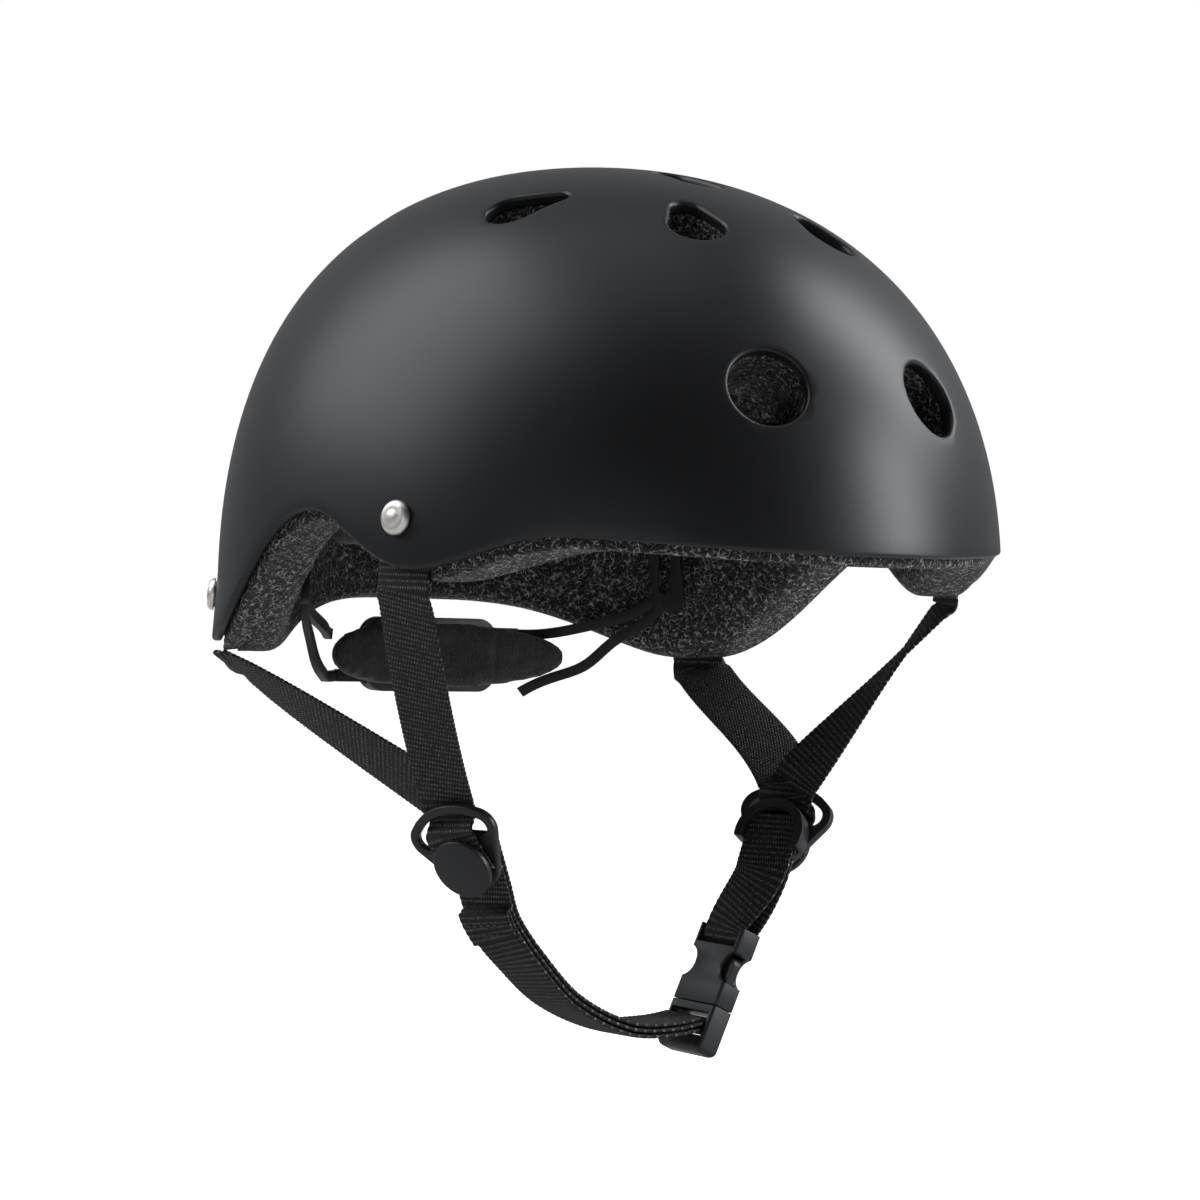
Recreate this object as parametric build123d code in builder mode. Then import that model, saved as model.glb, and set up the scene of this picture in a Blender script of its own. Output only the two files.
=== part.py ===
from build123d import *
from math import asin, cos, pi, radians, sin, sqrt
import os

os.makedirs("parts", exist_ok=True)

# Skateboard helmet: hard shell, foam liner, comfort pads, webbing harness with a side-release
# buckle, and a nape cradle tightened by a dial. Sizes are in millimetres.
# +Z is up, -Y is the wearer's forehead and +X the wearer's left. The origin is the middle of the
# head opening, level with the brow rim.

# Hard shell
shell_half_width = 110.0
shell_front_reach = 136.0
shell_rear_reach = 124.0
shell_crown = 116.0
shell_wall = 3.0
widest_line_drop = 8.0
skirt_depth = 26.0
skirt_flare = 1.5
dome_fullness_share = 0.624
cut_overrun = 6.0

# Rim of the shell seen from the side, from the brow to the nape
brow_rise = 3.0
side_lobe_drop = 6.0
ear_arch_rise = 10.0
rear_lobe_drop = 29.0
nape_arch_drop = 12.0
brow_end_share = 0.69
side_lobe_share = 0.397
ear_arch_share = 0.10
rear_lobe_share = 0.50
nape_start_share = 0.86

# Foam liner
liner_gap = 0.6
liner_side_wall = 18.0
liner_front_wall = 20.5
liner_rear_wall = 20.5
liner_crown_wall = 24.0
liner_below_rim = 3.0

# Vents: round pairs front and rear, teardrops on the crown
round_vent_radius = 12.8
round_vent_rise = 44.0
round_vent_side_share = 0.27
tear_big_radius = 8.4
tear_small_radius = 3.0
tear_length = 26.5
crown_slot_radius = 6.5
crown_slot_length = 29.0
vent_depth = 46.0
vent_round = 1.1
tear_place_shares = [
    (0.490, -0.305, 0.0, -0.44),
    (0.236, -0.600, 0.0, 0.0),
    (0.490, 0.290, 0.0, 0.44),
    (0.236, 0.600, 0.0, 0.0),
]
crown_slot_share = 0.30

# Webbing and its rivets
web_width = 18.0
web_thick = 1.4
web_gap = 0.3
web_ease = 0.4
web_pull_share = 0.33
rivet_head_radius = 4.9
rivet_head_height = 2.0
rivet_head_round = 1.8
rivet_shank_radius = 2.0
rivet_hole_gap = 0.1
rivet_seat = 0.35
rivet_washer_radius = 5.5
rivet_washer_thick = 0.9
rivet_tail_radius = 3.2
rivet_tail_height = 1.2
front_rivet_rise = 8.0
front_rivet_share = 0.368
rear_rivet_drop = 15.0
rear_rivet_share = 0.548
web_end_margin = 7.0
web_channel_gap = 1.0
web_channel_depth = 4.2
rivet_pocket_depth = 1.6

# Strap rings, hung where the straps meet below each ear
ring_half_spacing = 57.0
ring_forward = 14.0
ring_drop = 88.0
ring_yaw = 24.0
ring_tilt = 29.0
ring_turn_right = 26.0
ring_turn_left = 6.0
ring_plate = 2.8
ring_hub_radius = 11.0
ring_corner_radius = 6.5
ring_corner_half_spacing = 11.5
ring_corner_rise = 17.5
ring_bar_width = 3.4
ring_round = 0.8
cap_radius = 10.5
cap_thick = 2.4
cap_round = 0.7
cap_skirt_wall = 1.1
web_tuck = 5.0

# Side-release buckle, fastened, left of the chin
buckle_side = 35.5
buckle_forward = 14.0
buckle_drop = 136.0
buckle_lean = 24.0
buckle_width = 21.6
buckle_thick = 7.6
buckle_wall = 1.5
buckle_round = 1.0
sleeve_length = 7.2
window_length = 10.0
window_bite = 4.6
top_block_height = 1.6
web_slot_height = 2.5
loop_bar_radius = 1.5
ear_height = 0.6
plug_length = 15.0
plug_gap = 0.35
plug_slot_height = 7.4
plug_rail = 2.4
plug_low_round = 2.2
ladder_bar_radius = 1.2
tongue_width = 5.0
tongue_length = 5.5
tongue_thick = 2.6
prong_thick = 3.2
prong_width = 3.0
prong_gap = 0.35
prong_squeeze_share = 0.0079
prong_margin_share = 0.85
prong_nose = 3.0
prong_root_radius = 1.6
wrap_start = 55.0
wrap_sweep = 125.0
tail_start = 192.0
tail_sweep = 78.0
chin_way_shares = [
    (-0.418, -0.109, -0.964),
    (-0.336, -0.123, -1.066),
    (-0.200, -0.127, -1.184),
    (0.0, -0.127, -1.269),
    (0.164, -0.127, -1.284),
]

# Nape cradle: two arms from the temples, meeting in a housing with a dial
cradle_band = 2.2
anchor_side = 64.0
anchor_back = 56.0
anchor_rise = 14.0
anchor_pin_radius = 2.5
anchor_pin_gap = 0.08
anchor_boss_radius = 5.0
anchor_boss_length = 5.0
anchor_head_radius = 4.0
anchor_head_thick = 1.6
anchor_socket_radius = 6.5
anchor_socket_depth = 8.0
arm_width = 11.0
arm_bar = 3.4
arm_slot_width = 4.2
arm_plan_shares = [
    (0.664, 0.420),
    (0.621, 0.509),
    (0.555, 0.605),
    (0.482, 0.685),
    (0.427, 0.739),
    (0.385, 0.791),
    (0.350, 0.832),
    (0.314, 0.848),
    (0.290, 0.848),
]
arm_trunk_shares = [(-0.050, 0.127), (-0.072, 0.0), (-0.088, -0.105)]
arm_slot_share = (-0.074, -0.020)
arm_slot_length = 17.0
arm_upper_shares = [(-0.075, -0.075), (0.036, -0.168), (0.127, -0.195), (0.236, -0.222)]
arm_lower_shares = [(-0.080, -0.115), (0.018, -0.209), (0.082, -0.250), (0.164, -0.322), (0.245, -0.356)]
arm_upper_rack_share = (0.385, -0.2355)
arm_upper_free_share = (0.345, -0.245)
arm_lower_rack_share = (0.385, -0.3645)
arm_lower_free_share = (0.360, -0.410)
rack_height = 4.0
rack_thick = 2.2
rack_tooth = 1.0
rack_pitch = 2.6
rack_teeth = 11
rack_lead_teeth = 3
tooth_tip_share = 0.45
tooth_narrow_share = 0.26
tooth_wide_share = 0.50
rack_side_gap = 0.3
rack_reach = 34.5
rack_far_reach = 13.5
nape_drop = 33.0
nape_reach = 90.2
housing_width = 50.0
housing_height = 24.0
housing_round = 7.0
housing_wall = 1.6
housing_gap = 0.35
pinion_teeth = 11
pinion_stub_radius = 2.0
shaft_radius = 3.0
shaft_gap = 0.06
dial_radius = 12.5
dial_thick = 7.0
dial_grip_radius = 1.1
dial_grips = 20
dial_round = 1.2
screw_head_radius = 3.0
screw_head_height = 1.2
screw_shank_radius = 1.2
dial_recess_radius = 9.6
dial_recess_depth = 2.2
detent_thick = 0.6
detent_radius = 8.2
detent_band = 1.8
screw_slot_width = 0.7
nape_pad_width = 88.0
nape_pad_height = 22.5
nape_pad_thick = 6.0
nape_pad_round = 9.0
nape_pad_half_curve = 82.0
nape_pad_back_curve = 95.5

# Comfort pads inside the liner
pad_gap = 0.4
pad_thick = 7.0
pad_edge_thick = 2.4
brow_pad_width = 104.0
brow_pad_height = 30.0
brow_pad_rise = 8.0
side_pad_length = 46.0
side_pad_height = 36.0
side_pad_rise = 1.0
side_pad_forward = 8.0
crown_pad_width = 74.0
crown_pad_flat_share = 0.55
rear_pad_width = 70.0
rear_pad_height = 26.0
rear_pad_rise = 18.0
pad_round = 9.0


def meridian(t):
    """Radius share and rise share of the dome's outline at t, from the widest line to the crown."""
    k = dome_fullness_share
    s = 1 - t
    radius = s**3 + 3 * t * s**2 + 3 * k * t**2 * s
    rise = 3 * k * t * s**2 + 3 * t**2 * s + t**3
    return radius, rise


def meridian_slope(t):
    """How fast the radius share and the rise share change with t."""
    k = dome_fullness_share
    s = 1 - t
    return 3 * k * t * (2 - 3 * t) - 6 * t * s, 3 * k * s * (1 - 3 * t) + 6 * t * s


def meridian_at(index, value):
    """The t at which the radius share (index 0) or the rise share (index 1) has this value."""
    low, high = 0, 1
    for _ in range(40):
        middle = (low + high) / 2
        past = meridian(middle)[index] < value if index == 0 else meridian(middle)[index] > value
        low, high = (low, middle) if past else (middle, high)
    return low


def reach_at(y):
    return shell_front_reach if y < 0 else shell_rear_reach


def outward(x, y, t):
    """Unit normal of the outer dome at a point whose outline parameter is t."""
    radius, _ = meridian(t)
    radius_slope, rise_slope = meridian_slope(t)
    height = shell_crown + widest_line_drop
    flat = Vector(x / (shell_half_width**2 * radius), y / (reach_at(y) ** 2 * radius), 0)
    steep = -radius_slope / rise_slope / height
    return Vector(flat.X, flat.Y, steep).normalized()


def crown_point(x_share, y_share):
    """Point and normal of the outer dome above a place given as shares of its half axes."""
    t = meridian_at(0, sqrt(x_share**2 + y_share**2))
    x = x_share * shell_half_width
    y = y_share * (shell_front_reach if y_share < 0 else shell_rear_reach)
    z = meridian(t)[1] * (shell_crown + widest_line_drop) - widest_line_drop
    return Vector(x, y, z), outward(x, y, t)


def side_point(y_share, z, side):
    """Point and normal of the outer dome on one side, at a height z."""
    y = y_share * (shell_front_reach if y_share < 0 else shell_rear_reach)
    height = shell_crown + widest_line_drop
    flare = skirt_flare / (skirt_depth * shell_half_width)
    if z < -widest_line_drop:
        radius = 1 - flare * (z + widest_line_drop)
        x = side * shell_half_width * sqrt(radius**2 - y_share**2)
        flat = Vector(x / (shell_half_width**2 * radius), y / (reach_at(y) ** 2 * radius), flare)
        return Vector(x, y, z), flat.normalized()
    t = meridian_at(1, (z + widest_line_drop) / height)
    x = side * shell_half_width * sqrt(meridian(t)[0] ** 2 - y_share**2)
    return Vector(x, y, z), outward(x, y, t)


def half_dome(half_width, reach, crown, skirt):
    """Rear half of a dome whose level sections are half ellipses, with a flared skirt below."""
    k = dome_fullness_share
    rise = crown + widest_line_drop
    low = -widest_line_drop
    with BuildPart() as half:
        with BuildSketch(Plane.XZ):
            with BuildLine():
                Bezier(
                    (half_width, low),
                    (half_width, low + k * rise),
                    (k * half_width, crown),
                    (0, crown),
                )
                flare = skirt_flare * skirt / skirt_depth
                Polyline((0, crown), (0, low - skirt), (half_width + flare, low - skirt))
                Line((half_width + flare, low - skirt), (half_width, low))
            make_face()
        revolve(axis=Axis.Z, revolution_arc=180)
    return scale(half.part, by=(1, reach / half_width, 1), mode=Mode.PRIVATE)


def dome(half_width, front_reach, rear_reach, crown, skirt):
    """Egg-shaped dome: a rear half and a mirrored front half."""
    with BuildPart() as egg:
        add(half_dome(half_width, rear_reach, crown, skirt))
        add(mirror(half_dome(half_width, front_reach, crown, skirt), about=Plane.XZ, mode=Mode.PRIVATE))
    return egg.part


def inset_dome(side, front, rear, crown, skirt):
    """The shell's dome drawn in by a margin at the side, front, rear and crown."""
    return dome(
        shell_half_width - side,
        shell_front_reach - front,
        shell_rear_reach - rear,
        shell_crown - crown,
        skirt,
    )


def rim_cutter(drop):
    """Everything below the rim's side outline, lowered by a drop."""
    front = -shell_front_reach - cut_overrun
    rear = shell_rear_reach + cut_overrun
    floor = -widest_line_drop - skirt_depth - 2 * cut_overrun
    level = (1, 0)
    with BuildPart() as cutter:
        with BuildSketch(Plane.YZ):
            with BuildLine():
                Spline(
                    (front, -drop),
                    (-brow_end_share * shell_front_reach, brow_rise - drop),
                    (-side_lobe_share * shell_front_reach, -side_lobe_drop - drop),
                    (-ear_arch_share * shell_front_reach, ear_arch_rise - drop),
                    (rear_lobe_share * shell_rear_reach, -rear_lobe_drop - drop),
                    (nape_start_share * shell_rear_reach, -nape_arch_drop - drop),
                    (rear, -nape_arch_drop - drop),
                    tangents=[level] * 7,
                )
                Polyline(
                    (rear, -nape_arch_drop - drop),
                    (rear, floor),
                    (front, floor),
                    (front, -drop),
                )
            make_face()
        extrude(amount=shell_half_width + cut_overrun, both=True)
    return cutter.part


def teardrop(length, big, small):
    """Teardrop about its middle, with the narrow end towards +X."""
    with BuildSketch() as drop:
        with Locations((big - length / 2, 0)):
            Circle(big)
        with Locations((length / 2 - small, 0)):
            Circle(small)
        make_hull()
    return drop.sketch


def vent_planes():
    """Each vent's plane on the dome, outwards, with its outline."""
    planes = []
    tear = (tear_length, tear_big_radius, tear_small_radius)
    for x_share, y_share, aim_x_share, aim_y_share in tear_place_shares:
        for side in (-1, 1):
            spot, normal = crown_point(side * x_share, y_share)
            aim = Vector(side * aim_x_share * shell_half_width, aim_y_share * reach_at(y_share), spot.Z)
            planes.append((Plane(origin=spot, x_dir=tangent(aim - spot, normal), z_dir=normal), tear))
    for y_sign in (-1, 1):
        for side in (-1, 1):
            rise_t = meridian_at(1, (round_vent_rise + widest_line_drop) / (shell_crown + widest_line_drop))
            radius_share = meridian(rise_t)[0]
            y_share = y_sign * sqrt(radius_share**2 - round_vent_side_share**2)
            spot, normal = crown_point(side * round_vent_side_share, y_share)
            across = tangent(Vector(1, 0, 0), normal)
            round_hole = (2 * round_vent_radius, round_vent_radius, round_vent_radius)
            planes.append((Plane(origin=spot, x_dir=across, z_dir=normal), round_hole))
    spot, normal = crown_point(0, -crown_slot_share)
    slot = (crown_slot_length, crown_slot_radius, crown_slot_radius)
    planes.append((Plane(origin=spot, x_dir=tangent(Vector(0, 1, 0), normal), z_dir=normal), slot))
    return planes


def tangent(direction, normal):
    """The direction turned into the plane across a normal."""
    return (direction - normal * direction.dot(normal)).normalized()


vents = vent_planes()

# Strap anchors: point on the outer dome and outward normal of each rivet
right, left = -1, 1
front_rivets = {side: side_point(-front_rivet_share, front_rivet_rise, side) for side in (right, left)}
rear_rivets = {side: side_point(rear_rivet_share, -rear_rivet_drop, side) for side in (right, left)}


def level_plane(anchor):
    """Upright plane on the shell's inner face at a rivet: X along the rim, Y up, Z outwards."""
    spot, normal = anchor
    flat = Vector(normal.X, normal.Y, 0).normalized()
    return Plane(origin=spot - flat * shell_wall, x_dir=Vector(0, 0, 1).cross(flat), z_dir=flat)


def anchor_plane(anchor):
    """Plane on the outer dome at a rivet: X along the rim, Y up, Z outwards."""
    spot, normal = anchor
    along = tangent(Vector(0, 0, 1).cross(normal), normal)
    return Plane(origin=spot, x_dir=along, z_dir=normal)


# Hard shell
with BuildPart() as shell:
    add(inset_dome(0, 0, 0, 0, skirt_depth))
    add(
        inset_dome(shell_wall, shell_wall, shell_wall, shell_wall, skirt_depth + cut_overrun),
        mode=Mode.SUBTRACT,
    )
    add(rim_cutter(0), mode=Mode.SUBTRACT)
    for plane, (length, big, small) in vents:
        with BuildSketch(plane):
            add(teardrop(length, big, small))
        extrude(amount=shell_wall * 3, both=True, mode=Mode.SUBTRACT)
    outer_faces = [face for face in shell.faces() if face.bounding_box().max.Z > shell_crown - shell_wall / 2]
    fillet([edge for face in outer_faces for wire in face.inner_wires() for edge in wire.edges()], vent_round)
    for anchor in list(front_rivets.values()) + list(rear_rivets.values()):
        with BuildSketch(anchor_plane(anchor)):
            Circle(rivet_shank_radius + rivet_hole_gap)
        extrude(amount=shell_wall * 2, both=True, mode=Mode.SUBTRACT)
shell.part.label = "shell"
export_step(shell.part, "parts/shell.step")

# Foam liner: outer face follows the shell, the cavity follows the head
liner_side = shell_wall + liner_gap + liner_side_wall
liner_front = shell_wall + liner_gap + liner_front_wall
liner_rear = shell_wall + liner_gap + liner_rear_wall
liner_crown = shell_wall + liner_gap + liner_crown_wall
outer_margin = shell_wall + liner_gap
with BuildPart() as liner:
    add(inset_dome(outer_margin, outer_margin, outer_margin, outer_margin, skirt_depth))
    add(
        inset_dome(liner_side, liner_front, liner_rear, liner_crown, skirt_depth + cut_overrun),
        mode=Mode.SUBTRACT,
    )
    add(rim_cutter(liner_below_rim), mode=Mode.SUBTRACT)
    for plane, (length, big, small) in vents:
        with BuildSketch(plane.offset(-vent_depth)):
            add(teardrop(length, big, small))
        extrude(amount=vent_depth + shell_wall, mode=Mode.SUBTRACT)
    for anchor in list(front_rivets.values()) + list(rear_rivets.values()):
        plane = level_plane(anchor)
        drop = widest_line_drop + skirt_depth + cut_overrun
        with BuildSketch(plane.offset(shell_wall)):
            with Locations((0, web_end_margin + web_channel_gap)):
                Rectangle(web_width + 2 * web_channel_gap, drop, align=(Align.CENTER, Align.MAX))
        extrude(amount=-web_channel_depth - shell_wall, mode=Mode.SUBTRACT)
        with BuildSketch(plane):
            Circle(rivet_washer_radius + web_channel_gap)
        extrude(amount=-web_channel_depth - rivet_pocket_depth, mode=Mode.SUBTRACT)
    for side in (right, left):
        pin_plane = Plane(
            origin=(side * anchor_side, anchor_back, anchor_rise), x_dir=(0, 1, 0), z_dir=(side, 0, 0)
        )
        with BuildSketch(pin_plane):
            Circle(anchor_socket_radius + rivet_hole_gap)
        extrude(amount=anchor_socket_depth + anchor_boss_length, mode=Mode.SUBTRACT)
liner.part.label = "foam_liner"
export_step(liner.part, "parts/foam_liner.step")


def in_front(plane, u, v, depth):
    """World point at local coordinates of a plane."""
    return plane.from_local_coords(Vector(u, v, depth))


# Comfort pads: crowned, thin at their edges, held in the cavity
def pad_wall():
    return inset_dome(
        liner_side + pad_gap,
        liner_front + pad_gap,
        liner_rear + pad_gap,
        liner_crown + pad_gap,
        cut_overrun,
    )


def end_pad(reach, wall_reach, width, height, rise, direction):
    """Pad across the front or rear of the cavity, thickest in its middle."""
    wall_half = shell_half_width - liner_side - pad_gap
    edge = wall_reach * sqrt(1 - (width / 2 / wall_half) ** 2) - pad_edge_thick
    inner_reach = wall_reach - pad_thick
    inner_half = width / 2 / sqrt(1 - (edge / inner_reach) ** 2)
    inner_crown = shell_crown - liner_crown
    with BuildPart() as pad:
        add(pad_wall())
        add(
            dome(inner_half, inner_reach, inner_reach, inner_crown, cut_overrun),
            mode=Mode.SUBTRACT,
        )
        with BuildSketch(Plane.XZ):
            with Locations((0, rise + height / 2)):
                RectangleRounded(width, height, pad_round)
        extrude(amount=-direction * reach, mode=Mode.INTERSECT)
    return pad.part


brow_wall = shell_front_reach - liner_front - pad_gap
with BuildPart() as brow_pad:
    add(end_pad(shell_front_reach, brow_wall, brow_pad_width, brow_pad_height, brow_pad_rise, -1))
brow_pad.part.label = "brow_pad"
export_step(brow_pad.part, "parts/brow_pad.step")

rear_wall = shell_rear_reach - liner_rear - pad_gap
with BuildPart() as rear_pad:
    add(end_pad(shell_rear_reach, rear_wall, rear_pad_width, rear_pad_height, rear_pad_rise, 1))
rear_pad.part.label = "rear_pad"
export_step(rear_pad.part, "parts/rear_pad.step")

crown_wall = shell_crown - liner_crown - pad_gap
cavity_half = shell_half_width - liner_side
cavity_rear = shell_rear_reach - liner_rear
crown_edge = crown_pad_width / 2
crown_profile = []
for step in range(5):
    radius_share = crown_edge / cavity_half * step / 4
    rise = meridian(meridian_at(0, radius_share))[1] if step else 1
    height = rise * (crown_wall + widest_line_drop) - widest_line_drop
    crown_profile.append((radius_share * cavity_half, height))
with BuildPart() as round_pad:
    with BuildSketch(Plane.XZ):
        with BuildLine():
            Spline(crown_profile)
            Line(crown_profile[-1], (crown_edge, crown_profile[-1][1] - pad_edge_thick))
            Spline(
                (crown_edge, crown_profile[-1][1] - pad_edge_thick),
                (crown_edge * crown_pad_flat_share, crown_wall - pad_thick),
                (0, crown_wall - pad_thick),
                tangents=[(-1, 0), (-1, 0), (-1, 0)],
            )
            Line((0, crown_wall - pad_thick), (0, crown_wall))
        make_face()
    revolve(axis=Axis.Z)
with BuildPart() as crown_pad:
    add(scale(round_pad.part, by=(1, cavity_rear / cavity_half, 1), mode=Mode.PRIVATE))
crown_pad.part.label = "crown_pad"
export_step(crown_pad.part, "parts/crown_pad.step")

side_face = shell_half_width - liner_side - pad_gap - pad_thick
for side, name in ((right, "side_pad_right"), (left, "side_pad_left")):
    face = Plane(origin=(side * side_face, -side_pad_forward, 0), x_dir=(0, 1, 0), z_dir=(side, 0, 0))
    if side == right:
        face = Plane(origin=face.origin, x_dir=(0, -1, 0), z_dir=(side, 0, 0))
    with BuildPart() as side_pad:
        add(pad_wall())
        with BuildSketch(face):
            with Locations((0, side_pad_rise + side_pad_height / 2)):
                RectangleRounded(side_pad_length, side_pad_height, pad_round)
        extrude(amount=shell_half_width, mode=Mode.INTERSECT)
    side_pad.part.label = name
    export_step(side_pad.part, f"parts/{name}.step")


# Rivets: domed head outside, shank through shell and webbing, washer and set tail inside
web_depth = shell_wall + web_ease + web_gap + web_thick / 2
washer_depth = web_depth + web_thick / 2 + web_gap
tail_depth = washer_depth + rivet_washer_thick + rivet_hole_gap
pin_hole_radius = rivet_shank_radius + rivet_hole_gap


def rivet(plane):
    with BuildPart() as body:
        with BuildSketch(plane.offset(rivet_seat)):
            Circle(rivet_head_radius)
        extrude(amount=rivet_head_height)
        fillet(body.faces().sort_by(Axis(plane.origin, plane.z_dir))[-1].edges(), rivet_head_round)
        with BuildSketch(plane.offset(rivet_seat)):
            Circle(rivet_shank_radius)
        extrude(amount=-rivet_seat - tail_depth)
        with BuildSketch(plane.offset(-tail_depth)):
            Circle(rivet_tail_radius)
        extrude(amount=-rivet_tail_height)
    return body.part


for name, anchors in (("front_rivets", front_rivets), ("rear_rivets", rear_rivets)):
    with BuildPart() as rivets:
        for side in (right, left):
            add(rivet(anchor_plane(anchors[side])))
    rivets.part.label = name
    export_step(rivets.part, f"parts/{name}.step")

# Strap rings: rounded triangular plate with a hub for the cap's stem
ring_unit = {}
for side in (right, left):
    yaw = radians(ring_yaw)
    tilt = radians(ring_tilt)
    ring_unit[side] = Plane(
        origin=(side * ring_half_spacing, -ring_forward, -ring_drop),
        x_dir=(-side * sin(yaw), side * cos(yaw), 0),
        z_dir=(side * cos(yaw) * cos(tilt), side * sin(yaw) * cos(tilt), -sin(tilt)),
    )
rings = {}
for side, turn in ((right, radians(ring_turn_right)), (left, radians(ring_turn_left))):
    unit = ring_unit[side]
    turned = unit.x_dir * cos(turn) + unit.y_dir * sin(turn)
    rings[side] = Plane(origin=unit.origin, x_dir=turned, z_dir=unit.z_dir)
web_step = web_thick + web_gap
under_plate = ring_plate / 2 + web_gap + web_thick / 2
cap_seat = ring_plate / 2 + 2 * web_step + web_gap
ring_back = -ring_plate / 2 - 2 * web_step - web_gap


def ring_outline(shrink):
    with BuildSketch() as outline:
        Circle(ring_hub_radius - shrink)
        with Locations(
            (-ring_corner_half_spacing, ring_corner_rise), (ring_corner_half_spacing, ring_corner_rise)
        ):
            Circle(ring_corner_radius - shrink)
        make_hull()
    return outline.sketch


for side, name in ((right, "strap_ring_right"), (left, "strap_ring_left")):
    plane = rings[side]
    with BuildPart() as ring:
        with BuildSketch(plane.offset(-ring_plate / 2)):
            add(ring_outline(0))
            add(ring_outline(ring_bar_width), mode=Mode.SUBTRACT)
            Circle(ring_hub_radius)
        extrude(amount=ring_plate)
        outer_face = ring.faces().sort_by(Axis(plane.origin, plane.z_dir))[-1]
        fillet(outer_face.outer_wire().edges(), ring_round)
        with BuildSketch(plane.offset(-ring_plate / 2)):
            Circle(pin_hole_radius)
        extrude(amount=ring_plate, mode=Mode.SUBTRACT)
    ring.part.label = name
    export_step(ring.part, f"parts/{name}.step")

# Ring caps: round cover over the strap ends, with a stem riveted behind the ring
for side, name in ((right, "ring_cap_right"), (left, "ring_cap_left")):
    plane = rings[side]
    with BuildPart() as cap:
        with BuildSketch(plane.offset(cap_seat)):
            Circle(cap_radius)
        extrude(amount=cap_thick)
        outer_face = cap.faces().sort_by(Axis(plane.origin, plane.z_dir))[-1]
        fillet(outer_face.edges(), cap_round)
        with BuildSketch(plane.offset(cap_seat)):
            Circle(cap_radius)
            Circle(cap_radius - cap_skirt_wall, mode=Mode.SUBTRACT)
            Rectangle(
                web_width + 4 * web_gap,
                2 * cap_radius,
                align=(Align.CENTER, Align.MIN),
                mode=Mode.SUBTRACT,
            )
        extrude(amount=ring_plate / 2 + rivet_hole_gap - cap_seat)
        tail_seat = ring_back - rivet_washer_thick - rivet_hole_gap
        with BuildSketch(plane.offset(tail_seat - rivet_tail_height)):
            Circle(rivet_shank_radius)
        extrude(amount=cap_seat - tail_seat + rivet_tail_height)
        with BuildSketch(plane.offset(tail_seat)):
            Circle(rivet_tail_radius)
        extrude(amount=-rivet_tail_height)
    cap.part.label = name
    export_step(cap.part, f"parts/{name}.step")

# Washers behind the shell rivets and the ring caps
washer_planes = [anchor_plane(spot).offset(-washer_depth) for spot in front_rivets.values()]
washer_planes += [anchor_plane(spot).offset(-washer_depth) for spot in rear_rivets.values()]
washer_planes += [rings[side].offset(ring_back) for side in (right, left)]
with BuildPart() as rivet_washers:
    for plane in washer_planes:
        with BuildSketch(plane):
            Circle(rivet_washer_radius)
            Circle(pin_hole_radius, mode=Mode.SUBTRACT)
        extrude(amount=-rivet_washer_thick)
rivet_washers.part.label = "rivet_washers"
export_step(rivet_washers.part, "parts/rivet_washers.step")


# Webbing: a flat ribbon through stations, each a point, the way across and the way along
def ribbon(stations):
    with BuildPart() as web:
        for point, across, along in stations:
            with BuildSketch(Plane(origin=point, x_dir=across, z_dir=along)):
                Rectangle(web_width, web_thick)
        loft(ruled=True)
    return web.part


def run(start, start_way, end, end_way, start_across, end_across, spans):
    """Stations between two points, along a curve that leaves and arrives in given directions."""
    handle = (end - start).length * web_pull_share
    bend = [start, start + start_way * handle, end - end_way * handle, end]
    stations = []
    for step in range(1, spans):
        t = step / spans
        s = 1 - t
        spot = bend[0] * s**3 + bend[1] * (3 * t * s**2) + bend[2] * (3 * t**2 * s) + bend[3] * t**3
        way = (bend[1] - bend[0]) * s**2 + (bend[2] - bend[1]) * (2 * t * s) + (bend[3] - bend[2]) * t**2
        way = way.normalized()
        stations.append((spot, tangent(start_across * s + end_across * t, way), way))
    return stations


def harness_strap(side, share, rivet_height, low, layer):
    """Strap from its rivet down the inside of the shell, to its ring and under the ring's cap."""
    ring = rings[side]
    down = Vector(0, 0, -1)
    ring_way = -ring.y_dir
    stations = []
    for height in (rivet_height + web_end_margin, rivet_height, rivet_height - web_end_margin, low):
        spot, normal = side_point(share, height, side)
        across = tangent(Vector(0, 0, 1).cross(normal), normal)
        stations.append((spot - normal * web_depth, across, across.cross(normal)))
    last, last_across, last_way = stations[-1]
    inner = -under_plate - layer * web_step
    outer = under_plate + (1 - layer) * web_step
    bar_top = ring_corner_rise + ring_corner_radius + web_step
    bar_low = ring_corner_rise + ring_corner_radius - ring_bar_width - web_step
    above_bar = in_front(ring, 0, bar_top, inner)
    stations += run(last, down, above_bar, ring_way, last_across, ring.x_dir, 7)
    stations += [
        (above_bar, ring.x_dir, ring_way),
        (in_front(ring, 0, bar_low, inner), ring.x_dir, ring_way),
        (in_front(ring, 0, ring_hub_radius + web_gap, outer), ring.x_dir, ring_way),
        (in_front(ring, 0, -web_tuck, outer), ring.x_dir, ring_way),
    ]
    hole_plane = anchor_plane(side_point(share, rivet_height, side))
    with BuildPart() as strap:
        add(ribbon(stations))
        with BuildSketch(hole_plane):
            Circle(pin_hole_radius)
        extrude(amount=-washer_depth, mode=Mode.SUBTRACT)
        with BuildSketch(ring):
            Circle(pin_hole_radius)
            with Locations((0, -web_tuck - web_end_margin)):
                Rectangle(2 * web_width, 2 * web_tuck + 2 * web_end_margin)
            Circle(cap_radius - cap_skirt_wall - web_gap, mode=Mode.SUBTRACT)
            Circle(pin_hole_radius)
        extrude(amount=cap_seat, mode=Mode.SUBTRACT)
    return strap.part


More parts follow.
